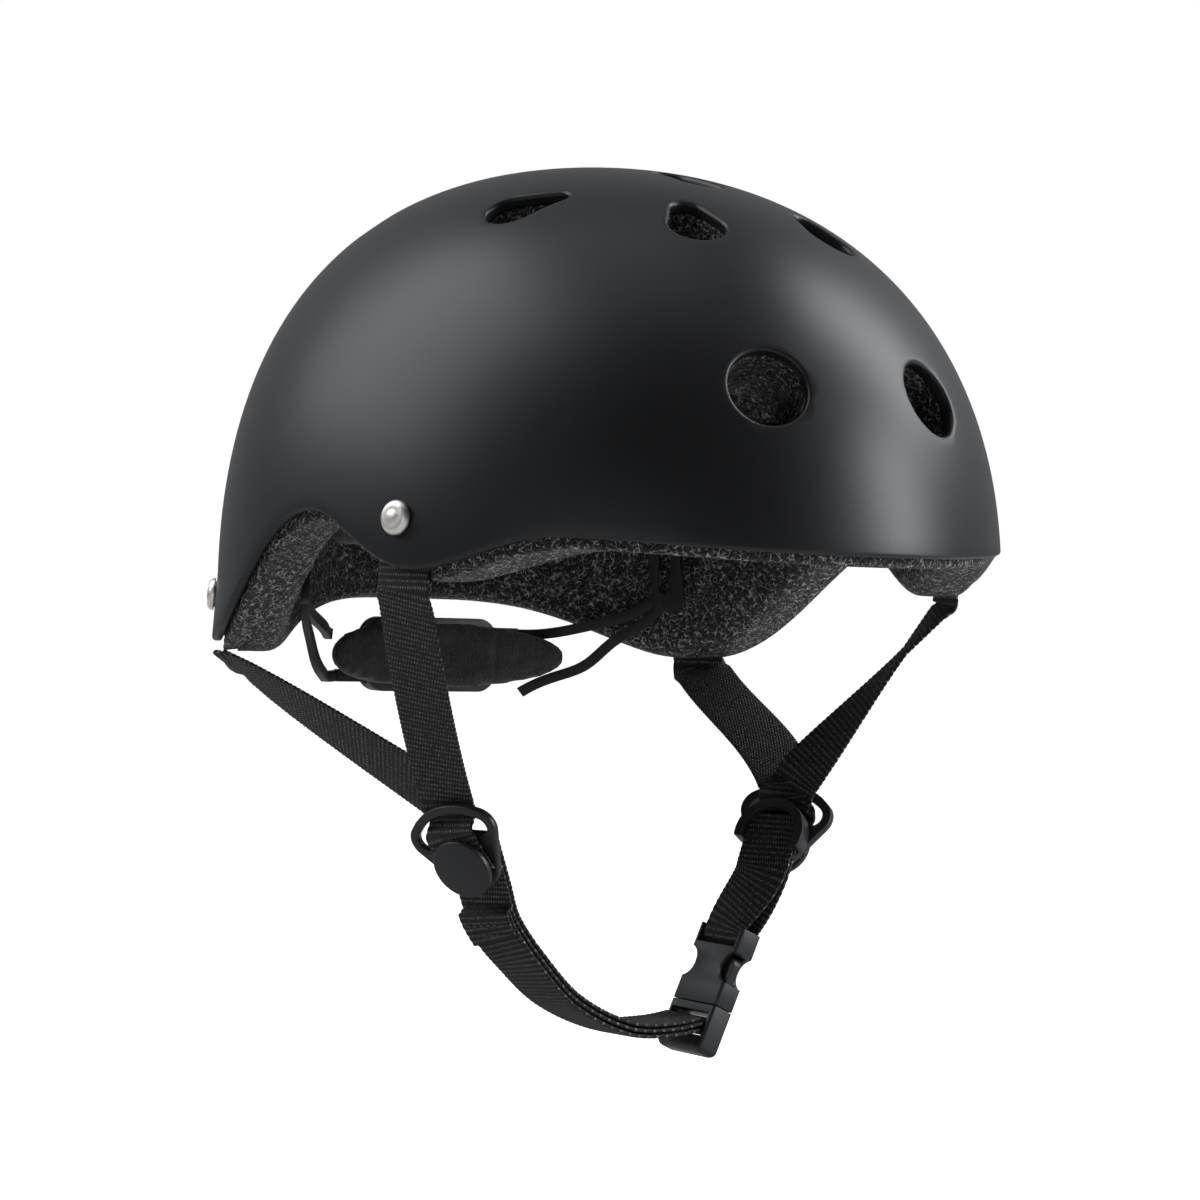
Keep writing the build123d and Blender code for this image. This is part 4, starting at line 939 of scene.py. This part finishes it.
# %% The rings' places
ring_half_spacing, ring_forward, ring_drop = 56.4, 14.0, 86.0
ring_sway, ring_sag = 4.6, 3.6
ring_yaw, ring_tilt = radians(24), radians(29)
ring_turns = {right: radians(18), left: radians(6)}
ring_plate, ring_bar_width = 2.6, 2.8
ring_hub_radius, ring_corner_radius = 10.0, 6.0
arch_radius, arch_sink, arch_reach = 16.0, 3.0, radians(38)
arch_top = arch_radius - arch_sink
cap_radius, cap_thick = 9.4, 2.2
web_end_margin, web_tuck = 7.0, 3.5
caught_rise, caught_aside = 22.0, 5.0
narrow_share, dive_aside = 0.28, 2
bar_aside, window_aside = 5, 3
tucked_rise = 14.0
plain_rings, rings = {}, {}
for side in (right, left):
    sag = ring_sag if side == right else 0
    origin = Vector((side * ring_half_spacing, -ring_forward, -ring_drop - sag)) + camera_right * ring_sway
    level = Vector((side * cos(ring_yaw), side * sin(ring_yaw), 0))
    outwards = level * cos(ring_tilt) - Vector((0, 0, sin(ring_tilt)))
    plain_rings[side] = seat(origin, (-side * sin(ring_yaw), side * cos(ring_yaw), 0), outwards)
    x_way, y_way = way_of(plain_rings[side], 0), way_of(plain_rings[side], 1)
    turn = ring_turns[side]
    rings[side] = seat(origin, x_way * cos(turn) + y_way * sin(turn), outwards)
under_plate = ring_plate / 2 + web_gap + web_thick / 2
cap_seat = ring_plate / 2 + web_step + web_gap


# %% The four harness straps
def harness_route(side, y_share, rivet_height, low, layer):
    ring = rings[side]
    x_way, ring_way, outwards = way_of(ring, 0), -way_of(ring, 1), way_of(ring, 2)
    stations = []
    for height in (rivet_height + web_end_margin, rivet_height, rivet_height - web_end_margin, low):
        spot, normal = side_spot(y_share, height, side)
        across = tangent(Vector((0, 0, 1)).cross(normal), normal)
        stations.append((spot - normal * web_depth, across, across.cross(normal)))
    last, last_across, last_way = stations[-1]
    inner = -under_plate - layer * web_step
    bar_top = arch_top + ring_corner_radius + web_step / 2
    bar_low = arch_top + ring_corner_radius - ring_bar_width - web_step / 2
    slant = (ring.translation - last).normalized().dot(x_way)
    if layer:
        end = at(ring, -slant * caught_aside, caught_rise, inner)
        end_way = (end - last).normalized()
        end_across = tangent(outwards.cross(end_way), end_way)
        if side == right:
            stations += run(last, end_way, end, end_way, last_across, end_across, 9, 0.2, 0.6)
            tucked = at(ring, 0, tucked_rise, inner)
            stations.append((end, end_across, end_way))
            stations.append((tucked, end_across, (tucked - end).normalized()))
            return stations
        edge_on = tangent(camera_back, end_way)
        edge_on *= 1 if edge_on.dot(end_across) > 0 else -1
        if edge_on.dot(last_across) < 0:
            stations = [(spot, -across, way) for spot, across, way in stations]
            last_across = -last_across
        narrow = last.lerp(end, narrow_share)
        stations += run(last, end_way, narrow, end_way, last_across, edge_on, 4, 0.3)
        stations.append((narrow, edge_on, end_way))
        stations += run(narrow, end_way, end, end_way, edge_on, end_across, 8, 0.3, 1.2)
        stations.append((end, end_across, end_way))
        dive = at(ring, slant * dive_aside, bar_low - web_step, -web_gap)
        stations.append((dive, end_across, (dive - end).normalized()))
        return stations
    above_bar = at(ring, -slant * bar_aside, bar_top, inner)
    straight = (above_bar - last).normalized()
    leave, arrive = (straight * 6 + last_way).normalized(), (straight * 4 + ring_way).normalized()
    stations += run(last, leave, above_bar, arrive, last_across, tangent(x_way, arrive), 9, 0.3, 0.7)
    stations.append((above_bar, tangent(x_way, arrive), arrive))
    stations.append((at(ring, -slant * window_aside, bar_low, inner), x_way, ring_way))
    for height in (cap_radius, -web_tuck):
        stations.append((at(ring, 0, height, under_plate), x_way, ring_way))
    return stations


def make_webbing_material():
    material, tree, shader, place = new_material("black webbing")
    route = node(tree, "ShaderNodeUVMap", uv_map="route").outputs[0]
    weave_nodes = place_group(tree, "webbing weave", Route=route, Rib=rib_pitch, Yarn=0.9)
    crest = weave_nodes.outputs["Crest"]
    fuzz = noise(tree, place, 900.0, 4.0)
    # Painted highlight: shine lightens the base colour on the rib crests, from near black up to 0.36.
    shine = maths(tree, "MULTIPLY", crest, ramp(tree, fuzz, 0.35, 0.7, 0.15, 1.0))
    tree.links.new(blend_colour(tree, shine, colour(0.003), colour(0.36)), shader.inputs["Base Color"])
    tree.links.new(maths(tree, "MULTIPLY_ADD", shine, -0.2, 0.72), shader.inputs["Roughness"])
    height = maths(tree, "MULTIPLY_ADD", fuzz, 0.3, weave_nodes.outputs["Height"])
    bump_into(tree, shader, height, 0.9, 0.0003)
    preset(shader, Sheen_Weight=0.05, Sheen_Roughness=0.4)
    return material


webbing = make_webbing_material()
side_lobe_low = -6.0 - liner_drop - web_step
rear_lobe_low = -29.0 - liner_drop - web_step
for name, side, share, height, low, layer in (
    ("front_strap_right", right, -front_rivet_share, front_rivet_rise, side_lobe_low, 0),
    ("rear_strap_right", right, rear_rivet_share, -rear_rivet_drop, rear_lobe_low, 1),
    ("front_strap_left", left, -front_rivet_share, front_rivet_rise, side_lobe_low, 1),
    ("rear_strap_left", left, rear_rivet_share, -rear_rivet_drop, rear_lobe_low, 0),
):
    stations = harness_route(side, share, height, low, layer)
    strap = weave(name.replace("strap", "webbing"), stations, name)
    print(name, "woven:", len(strap.data.polygons), "faces")

# %% [markdown]
# The chin straps close the harness through the buckle.
# The buckle hangs left of the chin with its face towards the wearer's right. On the left one
# webbing loops round the buckle's bar. On the right the webbing runs down double, turns round the
# ladder bar of the plug, and its loose tail comes back up on the outside and ends in a sewn hem.

# %% The chin straps
buckle = seat((35.5, -14.0, -136.0), (0, -1, 0), (-cos(radians(24)), 0, sin(radians(24))))
buckle_x, buckle_y, buckle_z = (way_of(buckle, index) for index in range(3))
half_thick = 3.8
loop_bar_at, loop_bar_radius = 22.8, 1.5
ladder_bar_at, ladder_bar_radius = -6.45, 1.2
wrap_turn, tail_turn = (55, 125, 6), (192, 78, 4)
hem_end, hem_low = 1, 4
chin_way_points = [
    Vector((-41.5, -13.0, -108.0)),
    Vector((-32.5, -14.5, -119.5)),
    Vector((-18.0, -14.0, -132.0)),
    Vector((2.0, -14.0, -140.6)),
    Vector((18.0, -14.0, -141.6)),
]


def bar_turn(height, radius, start, sweep, spans):
    """Stations round a bar of the buckle, from its face towards its top."""
    stations = []
    for step in range(spans + 1):
        turn = radians(start + sweep * step / spans)
        spot = at(buckle, 0, height + radius * sin(turn), radius * cos(turn))
        way = buckle_y * cos(turn) - buckle_z * sin(turn)
        stations.append((spot, buckle_x, way if sweep > 0 else -way))
    return stations


def through_points(points, start_way, end_way, start_across, end_across, spans):
    """Evenly spaced stations on a smooth curve through points, without its two ends."""
    ways = [start_way]
    for before, after in zip(points, points[2:]):
        ways.append((after - before).normalized())
    ways.append(end_way)
    fine = travelled([(spot, start_across, way) for spot, way in zip(points, ways)])
    length, index, stations = fine[-1][0], 0, []
    for step in range(1, spans):
        while fine[index + 1][0] < length * step / spans:
            index += 1
        way = (fine[min(index + 4, len(fine) - 1)][1] - fine[max(index - 4, 0)][1]).normalized()
        share = step / spans
        across = tangent(start_across * (1 - share) + end_across * share, way)
        stations.append((fine[index][1].lerp(fine[index + 1][1], 0.5), across, way))
    return stations


def make_left_chin():
    hang = plain_rings[left]
    across, way = -way_of(hang, 0), -way_of(hang, 1)
    turn = bar_turn(loop_bar_at, loop_bar_radius + web_gap + web_thick / 2, 0, -180, 6)
    face_depth, back_depth = -under_plate - web_step, -under_plate
    face_start, back_start = (at(hang, 0, web_end_margin, depth) for depth in (face_depth, back_depth))
    face_edge, back_edge = (at(hang, 0, -ring_hub_radius, depth) for depth in (face_depth, back_depth))
    down = turn[0][2]
    stations = [(face_start, across, way), (face_edge, across, way)]
    stations += run(face_edge, way, turn[0][0], down, across, buckle_x, 8) + turn
    stations += backwards(run(back_edge, way, turn[-1][0], down, across, buckle_x, 8))
    stations += [(back_edge, across, -way), (back_start, across, -way)]
    weave("chin_webbing_left", stations, "chin_strap_left")


def make_right_chin():
    hang = plain_rings[right]
    across, up = way_of(hang, 0), way_of(hang, 1)
    outwards = way_of(hang, 2)
    wrap_radius = ladder_bar_radius + web_gap + web_thick / 2
    wrap = bar_turn(ladder_bar_at, wrap_radius, *wrap_turn)
    hub_start = (at(hang, 0, web_end_margin, -under_plate), across, -up)
    hub_edge = (at(hang, 0, -ring_hub_radius, -under_plate), across, -up)
    points = [hub_edge[0]] + chin_way_points + [wrap[0][0]]
    chin_run = through_points(points, -up, wrap[0][2], across, buckle_x, 24)
    fold = []
    for step in range(1, 4):
        turn = radians(180 * step / 4)
        height = web_end_margin + web_step / 2 * sin(turn)
        depth = -under_plate - web_step / 2 * (1 + cos(turn))
        fold.append((at(hang, 0, height, depth), across, up * cos(turn) + outwards * sin(turn)))
    inner_layer = backwards(lowered([hub_start, hub_edge] + chin_run, -web_step))
    stations = inner_layer + fold + [hub_start, hub_edge] + chin_run + wrap
    strap = weave("chin_webbing_right", stations, "chin_strap_right", None)
    tail_start = bar_turn(ladder_bar_at, wrap_radius, *tail_turn)
    over = at(buckle, 0, ladder_bar_at - wrap_radius - web_gap, half_thick - web_gap)
    over_bar = (over, buckle_x, (buckle_z * 4 - buckle_y).normalized())
    up_run = backwards(lowered(chin_run[hem_end:], web_step))
    end_spot, end_across, end_way = up_run[-1]
    fall = end_across.cross(end_way)
    hem = []
    for step in range(1, 4):
        turn = radians(180 * step / 4)
        spot = end_spot + end_way * (web_thick * 0.6 * sin(turn)) - fall * (web_thick / 2 * (1 - cos(turn)))
        hem.append((spot, end_across, end_way * cos(turn) - fall * sin(turn)))
    hem_run = lowered(chin_run[hem_end:hem_low], web_step + web_thick)
    tail_run = tail_start + [over_bar] + up_run + hem + hem_run
    tail = weave("chin_webbing_tail", tail_run, "chin_strap_tail", None)
    return chin_run[hem_end], strap, tail


make_left_chin()
hem_station, chin_piece, tail_piece = make_right_chin()
print("chin straps woven:", len(chin_piece.data.polygons) + len(tail_piece.data.polygons), "faces")

# %% [markdown]
# Two rows of stitches hold the sewn end of the tail.
# A stitch is a short thread that dips into the webbing at both ends, so it is a long flattened ball half
# sunk into it, and the rows lie across the strap as on the real harness.


# %% Stitches
thread_long_share, thread_wide, thread_high = 0.80, 0.62, 0.42
hem_slides, hem_sewn_width, hem_stitch_count = (3.2, 6.4), 14.5, 6


def join_into(bm, other):
    """Adds one bmesh to another."""
    spare = bpy.data.meshes.new("spare")
    other.to_mesh(spare)
    other.free()
    bm.from_mesh(spare)
    bpy.data.meshes.remove(spare)


def stitch_row(bm, spot, across, way, lift, width, count):
    """Short raised threads across a strap, at a place on its outer face."""
    up = way.cross(across).normalized()
    pitch = width / count
    for number in range(count):
        middle = spot + across * (pitch * (number - (count - 1) / 2)) + up * lift
        thread = bmesh.new()
        bmesh.ops.create_uvsphere(thread, u_segments=10, v_segments=8, radius=0.5)
        size = (pitch * thread_long_share, thread_wide, thread_high)
        bmesh.ops.scale(thread, vec=size, verts=thread.verts)
        place = Matrix((across, way, up)).transposed().to_4x4()
        place.translation = middle
        bmesh.ops.transform(thread, matrix=place, verts=thread.verts)
        join_into(bm, thread)


def sew_hem():
    bm = bmesh.new()
    spot, across, way = hem_station
    lift = web_step + web_thick * 1.5
    for slide in hem_slides:
        stitch_row(bm, spot + way * slide, across, way, lift, hem_sewn_width, hem_stitch_count)
    return settle(bm, "hem_stitches", None, thread_black, (), 180)


def make_thread_material():
    material, tree, shader, place = new_material("sewing thread")
    preset(shader, Base_Color=colour(0.045), Roughness=0.5)
    return material


thread_black = make_thread_material()
hem_stitches = sew_hem()

# %% [markdown]
# When the plug leaves its socket, the right chin strap has to come along.
# Webbing bends, so its points follow the helmet near the ring and the plug near the buckle, and
# everything between turns smoothly from one to the other.

# %% Webbing that follows the plug
still_end = at(plain_rings[right], 0, -ring_hub_radius) * millimetre
moving_end = chin_way_points[-1] * millimetre
for piece in (chin_piece, tail_piece, hem_stitches):
    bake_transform(piece, "helmet", "plug", still_end, moving_end)
    print(piece.name, "follows the plug")

# %% [markdown]
# The moulded fittings keep the frame's own shapes.
# A moulded part never has a knife edge, so each copy is merged, its flat faces are joined, and every
# edge sharper than a limit is rounded by a small bevel. That thin round is what catches the light.


# %% Finishing a fitting from its node
merge_within, flat_within, sharp_above = 0.004, radians(0.6), radians(38)


def copy_of(node_name):
    """A node's triangles in metres, without its UV maps."""
    source = bpy.data.objects[node_name]
    bm = bmesh.new()
    bm.from_mesh(source.data)
    bmesh.ops.transform(bm, matrix=source.matrix_world, verts=bm.verts)
    for layer in list(bm.loops.layers.uv):
        bm.loops.layers.uv.remove(layer)
    return bm


def soften(bm, round_by):
    """Joins flat faces and rounds every edge that turns more than a limit."""
    bmesh.ops.remove_doubles(bm, verts=bm.verts, dist=merge_within)
    bmesh.ops.dissolve_limit(bm, angle_limit=flat_within, verts=bm.verts, edges=bm.edges)
    sharp = [e for e in bm.edges if e.is_manifold and e.calc_face_angle(0) > sharp_above]
    if sharp:
        bmesh.ops.bevel(
            bm,
            geom=sharp,
            offset=round_by,
            offset_type="OFFSET",
            segments=3,
            profile=0.5,
            affect="EDGES",
            clamp_overlap=True,
            material=-1,
        )


def finish(node_name, body, material, round_by, name):
    bm = copy_of(node_name)
    bmesh.ops.scale(bm, vec=Vector((1, 1, 1)) / millimetre, verts=bm.verts)
    if node_name == "rivet_washers":
        covered = [vert for vert in bm.verts if vert.co.z < -ring_drop / 2]
        bmesh.ops.delete(bm, geom=covered, context="VERTS")
    soften(bm, round_by)
    return settle(bm, name, body, material, [node_name], 32)


# %% [markdown]
# The two rings are drawn afresh, because their bars are rounder than the frame's plain plates.
# The outline is the hull of the hub's circle and of small circles along the arch. The window is the
# hull of the same small circles, drawn in by the width of the bar.


# %% The rings and their caps
def around(circles, count=96):
    """The hull of some circles, each a middle and a radius, as points and outward ways."""
    cloud = []
    for (x, y), radius in circles:
        for number in range(count):
            turn = 2 * pi * number / count
            way = Vector((cos(turn), sin(turn), 0))
            cloud.append((Vector((x, y, 0)) + way * radius, way))
    return [cloud[index] for index in convex_hull_2d([spot.xy for spot, way in cloud])]


hood_radius, hood_deep, hood_low = 11.6, 5.4, -3.0


def make_ring(side, word):
    place = rings[side]
    turns = [arch_reach * step / 4 for step in range(-4, 5)]
    arch = [(arch_radius * sin(turn), arch_radius * cos(turn) - arch_sink) for turn in turns]
    outline = around([((0, 0), ring_hub_radius)] + [(spot, ring_corner_radius) for spot in arch])
    window = around([(spot, ring_corner_radius - ring_bar_width) for spot in arch])
    half, far = ring_plate / 2, ring_plate * 5
    bm = carve(prism(place, outline, -half, half), [prism(place, window, -ring_plate, ring_plate)])
    if side == left:
        hood = rod(place, hood_radius, -half - hood_deep, -half + web_gap, 96)
        hollow = rod(place, hood_radius - ring_bar_width, -far, far, 96)
        join_into(bm, carve(hood, [hollow, block(place, 4 * far, -4 * far, hood_low, -far, far)]))
    soften(bm, 0.7)
    settle(bm, f"ring_{word}", "helmet", fitting_plastic, [f"strap_ring_{word}"], 32)


def make_cap(side, word):
    bm = rod(rings[side], cap_radius, cap_seat, cap_seat + cap_thick, 96)
    soften(bm, 0.6)
    settle(bm, f"cap_{word}", "helmet", fitting_plastic, [f"ring_cap_{word}"], 32)


for side, word in ((right, "right"), (left, "left")):
    make_ring(side, word)
    make_cap(side, word)

# %% [markdown]
# The rivets of the shell have low domed heads in satin nickel.
# Each dome is a flattened ball, sunk into the flat head of the frame's rivet.

# %% Rivet domes
dome_radius, dome_rise, dome_lift = 4.1, 2.2, 0.5


def make_domes(name, spots):
    bm = bmesh.new()
    for spot, normal in spots:
        place = seat(spot + normal * dome_lift, Vector((0, 0, 1)).cross(normal), normal)
        place = place @ Matrix.Diagonal((dome_radius, dome_radius, dome_rise, 1))
        bmesh.ops.create_uvsphere(bm, u_segments=40, v_segments=24, radius=1, matrix=place)
    return settle(bm, name, "helmet", rivet_metal, (), 180)


make_domes("front_domes", front_rivet_spots)
make_domes("rear_domes", rear_rivet_spots)

# %% [markdown]
# The other fittings are finished one by one.
# The rivets, the buckle and the cradle differ in their bodies, their materials and how large their
# rounds are. The two arms of the cradle are bent by the sliders that they end in, so each follows
# the cradle at its pin and its slider at the other end.

# %% Rivets, buckle and cradle
fittings = {}
for node_name, body, material, slot, round_by, name in (
    ("front_rivets", "helmet", rivet_metal, "rivet_metal", 0.2, "rivet_heads_front"),
    ("rear_rivets", "helmet", rivet_metal, "rivet_metal", 0.2, "rivet_heads_rear"),
    ("rivet_washers", "helmet", black_steel, "steel", 0.12, "washers"),
    ("buckle_socket", "helmet", fitting_plastic, "fitting_plastic", 0.4, "buckle_body"),
    ("buckle_plug", "plug", fitting_plastic, "fitting_plastic", 0.4, "buckle_insert"),
    ("buckle_prong_front", "front_prong", fitting_plastic, "fitting_plastic", 0.4, "prong_front"),
    ("buckle_prong_rear", "rear_prong", fitting_plastic, "fitting_plastic", 0.4, "prong_rear"),
    ("cradle_anchor_right", "helmet", fitting_plastic, "fitting_plastic", 0.25, "anchor_right"),
    ("cradle_anchor_left", "helmet", fitting_plastic, "fitting_plastic", 0.25, "anchor_left"),
    ("cradle_arm_right", None, cradle_plastic, "cradle_plastic", 0.4, "arm_right"),
    ("cradle_arm_left", None, cradle_plastic, "cradle_plastic", 0.4, "arm_left"),
    ("rack_left", "left_slider", cradle_plastic, "cradle_plastic", 0.12, "slider_left"),
    ("rack_right", "right_slider", cradle_plastic, "cradle_plastic", 0.12, "slider_right"),
    ("dial_pinion", "dial", fitting_plastic, "fitting_plastic", 0.1, "pinion"),
    ("dial_knob", "dial", knob_rubber, "grip_rubber", 0.3, "knob"),
    ("dial_screw", "dial", spring_steel, "steel", 0.12, "screw"),
    ("nape_housing", "nape", fitting_plastic, "fitting_plastic", 0.35, "housing"),
    ("housing_cover", "nape", fitting_plastic, "fitting_plastic", 0.3, "cover"),
    ("detent_spring", "nape", spring_steel, "steel", 0.08, "spring"),
):
    fittings[name] = finish(node_name, body, material, round_by, name)
arm_bend_start, arm_bend_end = (61.0, 66.5), (38.5, 91.5)
for side, word in ((right, "right"), (left, "left")):
    (x0, y0), (x1, y1) = arm_bend_start, arm_bend_end
    start, end = Vector((side * x0, y0, 0)) * millimetre, Vector((side * x1, y1, 0)) * millimetre
    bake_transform(fittings["arm_" + word], "cradle", word + "_slider", start, end)
print("fittings:", len(fittings))

# %% [markdown]
# The comfort pads are brushed knit over soft foam.
# Each pad starts from the frame's plain cushion. A copy is remeshed evenly and smoothed, which draws
# it in a little, and then it is blown up as cloth for a few frames, which gives the soft swell and
# the slight wrinkles of a real pad. How far a point may move is capped, so a pad never grows into
# the foam behind it.

# %% Blowing up a pad
puff_pressure, puff_frames = 4.0, 20
end_taper = 0.6


def pad_block(node_name, grain):
    """An even, closed mesh of a pad's node, in metres."""
    bm = copy_of(node_name)
    bmesh.ops.remove_doubles(bm, verts=bm.verts, dist=merge_within * millimetre)
    bm.normal_update()
    block_piece = to_object(bm, node_name + "_block")
    if node_name == "nape_pad":
        taper(block_piece.data)
    remesh = block_piece.modifiers.new("even", "REMESH")
    remesh.mode = "VOXEL"
    remesh.voxel_size = grain * millimetre
    smooth = block_piece.modifiers.new("soft", "SMOOTH")
    smooth.factor, smooth.iterations = 0.5, 4
    return bake(block_piece)


def taper(mesh):
    """Draws a pad in towards its two ends, so that it is lens-shaped."""
    middle = sum(vert.co.z for vert in mesh.vertices) / len(mesh.vertices)
    reach = max(abs(vert.co.x) for vert in mesh.vertices)
    for vert in mesh.vertices:
        share = abs(vert.co.x) / reach
        vert.co.z = middle + (vert.co.z - middle) * (1 - end_taper * share**2)


def bake(piece):
    """The piece's modifiers made into plain mesh."""
    seen = piece.evaluated_get(bpy.context.evaluated_depsgraph_get())
    made = bpy.data.meshes.new_from_object(seen)
    old = piece.data
    piece.modifiers.clear()
    piece.data = made
    bpy.data.meshes.remove(old)
    return piece


def puff(piece, limit):
    """Blows a closed mesh up as cloth, and caps how far its points move."""
    start = [vert.co.copy() for vert in piece.data.vertices]
    cloth = piece.modifiers.new("cloth", "CLOTH")
    knit = cloth.settings
    knit.quality, knit.mass = 5, 0.15
    knit.tension_stiffness, knit.compression_stiffness, knit.bending_stiffness = 12, 6, 0.4
    knit.use_pressure, knit.uniform_pressure_force = True, puff_pressure
    knit.effector_weights.gravity = 0
    cloth.collision_settings.use_collision = False
    cloth.point_cache.frame_start, cloth.point_cache.frame_end = 1, puff_frames
    scene = bpy.context.scene
    for step in range(1, puff_frames + 1):
        scene.frame_set(step)
    bake(piece)
    scene.frame_set(1)
    for vert, origin in zip(piece.data.vertices, start):
        move = vert.co - origin
        if move.length > limit * millimetre:
            vert.co = origin + move.normalized() * limit * millimetre
    return piece


def make_pad_material(name, base, lit):
    """Brushed knit: a fine loop pattern under a fuzz, lighter at grazing angles."""
    material, tree, shader, place = new_material(name)
    fuzz, slow = noise(tree, place, 2600.0, 5.0), noise(tree, place, 130.0, 4.0)
    loops = node(tree, "ShaderNodeTexVoronoi", {"Vector": place, "Scale": 1100.0}, feature="F1").outputs[0]
    tuft = maths(tree, "MULTIPLY", fuzz, maths(tree, "MULTIPLY_ADD", slow, 0.9, 0.55), clamp=True)
    sharp_tuft = ramp(tree, tuft, 0.38, 0.72)
    tree.links.new(blend_colour(tree, sharp_tuft, base, lit), shader.inputs["Base Color"])
    preset(shader, Roughness=0.95, Sheen_Weight=0.25, Sheen_Roughness=0.5)
    height = maths(tree, "MULTIPLY_ADD", loops, 0.5, fuzz)
    bump_into(tree, shader, height, 0.8, 0.0005)
    return material


pad_knit = make_pad_material("pad knit", colour(0.007), colour(0.05))
for node_name, body, grain, limit in (
    ("brow_pad", "helmet", 2.0, 1.2),
    ("rear_pad", "helmet", 2.0, 1.2),
    ("crown_pad", "helmet", 2.2, 1.2),
    ("side_pad_right", "helmet", 1.6, 1.0),
    ("side_pad_left", "helmet", 1.6, 1.0),
    ("nape_pad", "nape", 1.4, 1.0),
):
    pad = puff(pad_block(node_name, grain), limit)
    finer = pad.modifiers.new("finer", "SUBSURF")
    finer.levels = finer.render_levels = 1
    bake(pad)
    pad.name = pad.data.name = node_name.replace("_pad", "_cushion")
    pad.data.shade_smooth()
    pad.data.materials.clear()
    pad.data.materials.append(pad_knit)
    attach(pad, body)
    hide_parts(node_name)
    print(pad.name, "faces:", len(pad.data.polygons))

# %% [markdown]
# A large soft light high on the left and two slim ones on the right give the charcoal its bands.
# The photograph is lit that way: a broad glow on the upper left of the dome, a dark middle and a
# bright band at the right front. The world is dim in front and paler behind, as by a white
# backdrop, so the outline of the dome is lifted off its own darkness.

# %% Lights
helmet_middle, strap_middle = (0, -0.01, 0.02), (0, 0, -0.08)


def soft_light(name, spot, aim, width, height, watts):
    lamp = bpy.data.lights.new(name, "AREA")
    lamp.shape = "RECTANGLE"
    lamp.size, lamp.size_y = width, height
    lamp.energy = watts
    holder = bpy.data.objects.new(name, lamp)
    bpy.context.scene.collection.objects.link(holder)
    holder.location = spot
    holder.visible_camera = False
    holder.rotation_euler = (Vector(aim) - spot).to_track_quat("-Z", "Y").to_euler()


def beside(turn, rise, distance):
    """A place round the helmet: a turn from the camera, to its right, and an angle above level."""
    level = camera_back * cos(radians(turn)) + camera_right * sin(radians(turn))
    way = level * cos(radians(rise)) + Vector((0, 0, sin(radians(rise))))
    return Vector(helmet_middle) + way * distance


for name, place, aim, width, height, watts in (
    ("left softbox", (-92, 40, 1.25), helmet_middle, 1.0, 1.1, 10),
    ("right high strip", (108, 40, 1.2), helmet_middle, 0.45, 0.8, 7.5),
    ("right low strip", (80, 14, 1.2), helmet_middle, 0.35, 0.6, 8),
    ("top softbox", (-80, 78, 1.3), helmet_middle, 1.0, 1.0, 1.8),
    ("low fill", (-20, -4, 1.2), strap_middle, 0.9, 0.5, 1.2),
):
    soft_light(name, beside(*place), aim, width, height, watts)
    print(name, watts, "W")

# %% The background
dim_strength, backdrop_strength = 0.03, 0.32
world = bpy.data.worlds.new("studio")
bpy.context.scene.world = world
world.use_nodes = True
world_tree = world.node_tree
world_tree.nodes.clear()
path = node(world_tree, "ShaderNodeLightPath").outputs
seen_directly = maths(world_tree, "MAXIMUM", path["Is Camera Ray"], path["Is Transmission Ray"])
looking = node(world_tree, "ShaderNodeTexCoord").outputs["Generated"]
behind = node(world_tree, "ShaderNodeVectorMath", {0: looking, 1: -camera_back}, operation="DOT_PRODUCT")
paler = ramp(world_tree, behind.outputs[1], 0.0, 0.8, dim_strength, backdrop_strength)
fill = node(world_tree, "ShaderNodeBackground", {0: colour(0.93, 0.96, 1.0), 1: paler})
white = node(world_tree, "ShaderNodeBackground", {0: colour(1.0), 1: 1.0})
parts = {0: seen_directly, 1: fill.outputs[0], 2: white.outputs[0]}
either = node(world_tree, "ShaderNodeMixShader", parts)
node(world_tree, "ShaderNodeOutputWorld", {0: either.outputs[0]})

bpy.context.scene.view_settings.view_transform = "Standard"
bpy.context.scene.view_settings.look = "None"

# %% [markdown]
# The floor lies a little below the buckle, because the plug needs room to leave its socket.
# The camera sees it as white. The lowest point of the finished pieces sets its height.

# %% The floor
visual_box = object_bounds()
plug_room = 0.022
floor_reach = 8.0


def make_floor(height):
    """A pale floor that the camera sees as white, apart from a faint shadow."""
    material, tree, shader, place = new_material("floor")
    preset(shader, Base_Color=colour(0.55), Roughness=1.0, Emission_Color=colour(1.0))
    away = node(tree, "ShaderNodeVectorMath", {0: place}, operation="LENGTH").outputs[1]
    glow = ramp(tree, away, 0.3, 1.2, 0.9, 1.0)
    seen = node(tree, "ShaderNodeLightPath").outputs["Is Camera Ray"]
    tree.links.new(maths(tree, "MULTIPLY", seen, glow), shader.inputs["Emission Strength"])
    bm = bmesh.new()
    bmesh.ops.create_grid(bm, x_segments=1, y_segments=1, size=floor_reach)
    floor = to_object(bm, "floor")
    floor.data.materials.append(material)
    floor.location.z = height


make_floor(visual_box[0][2] - plug_room)
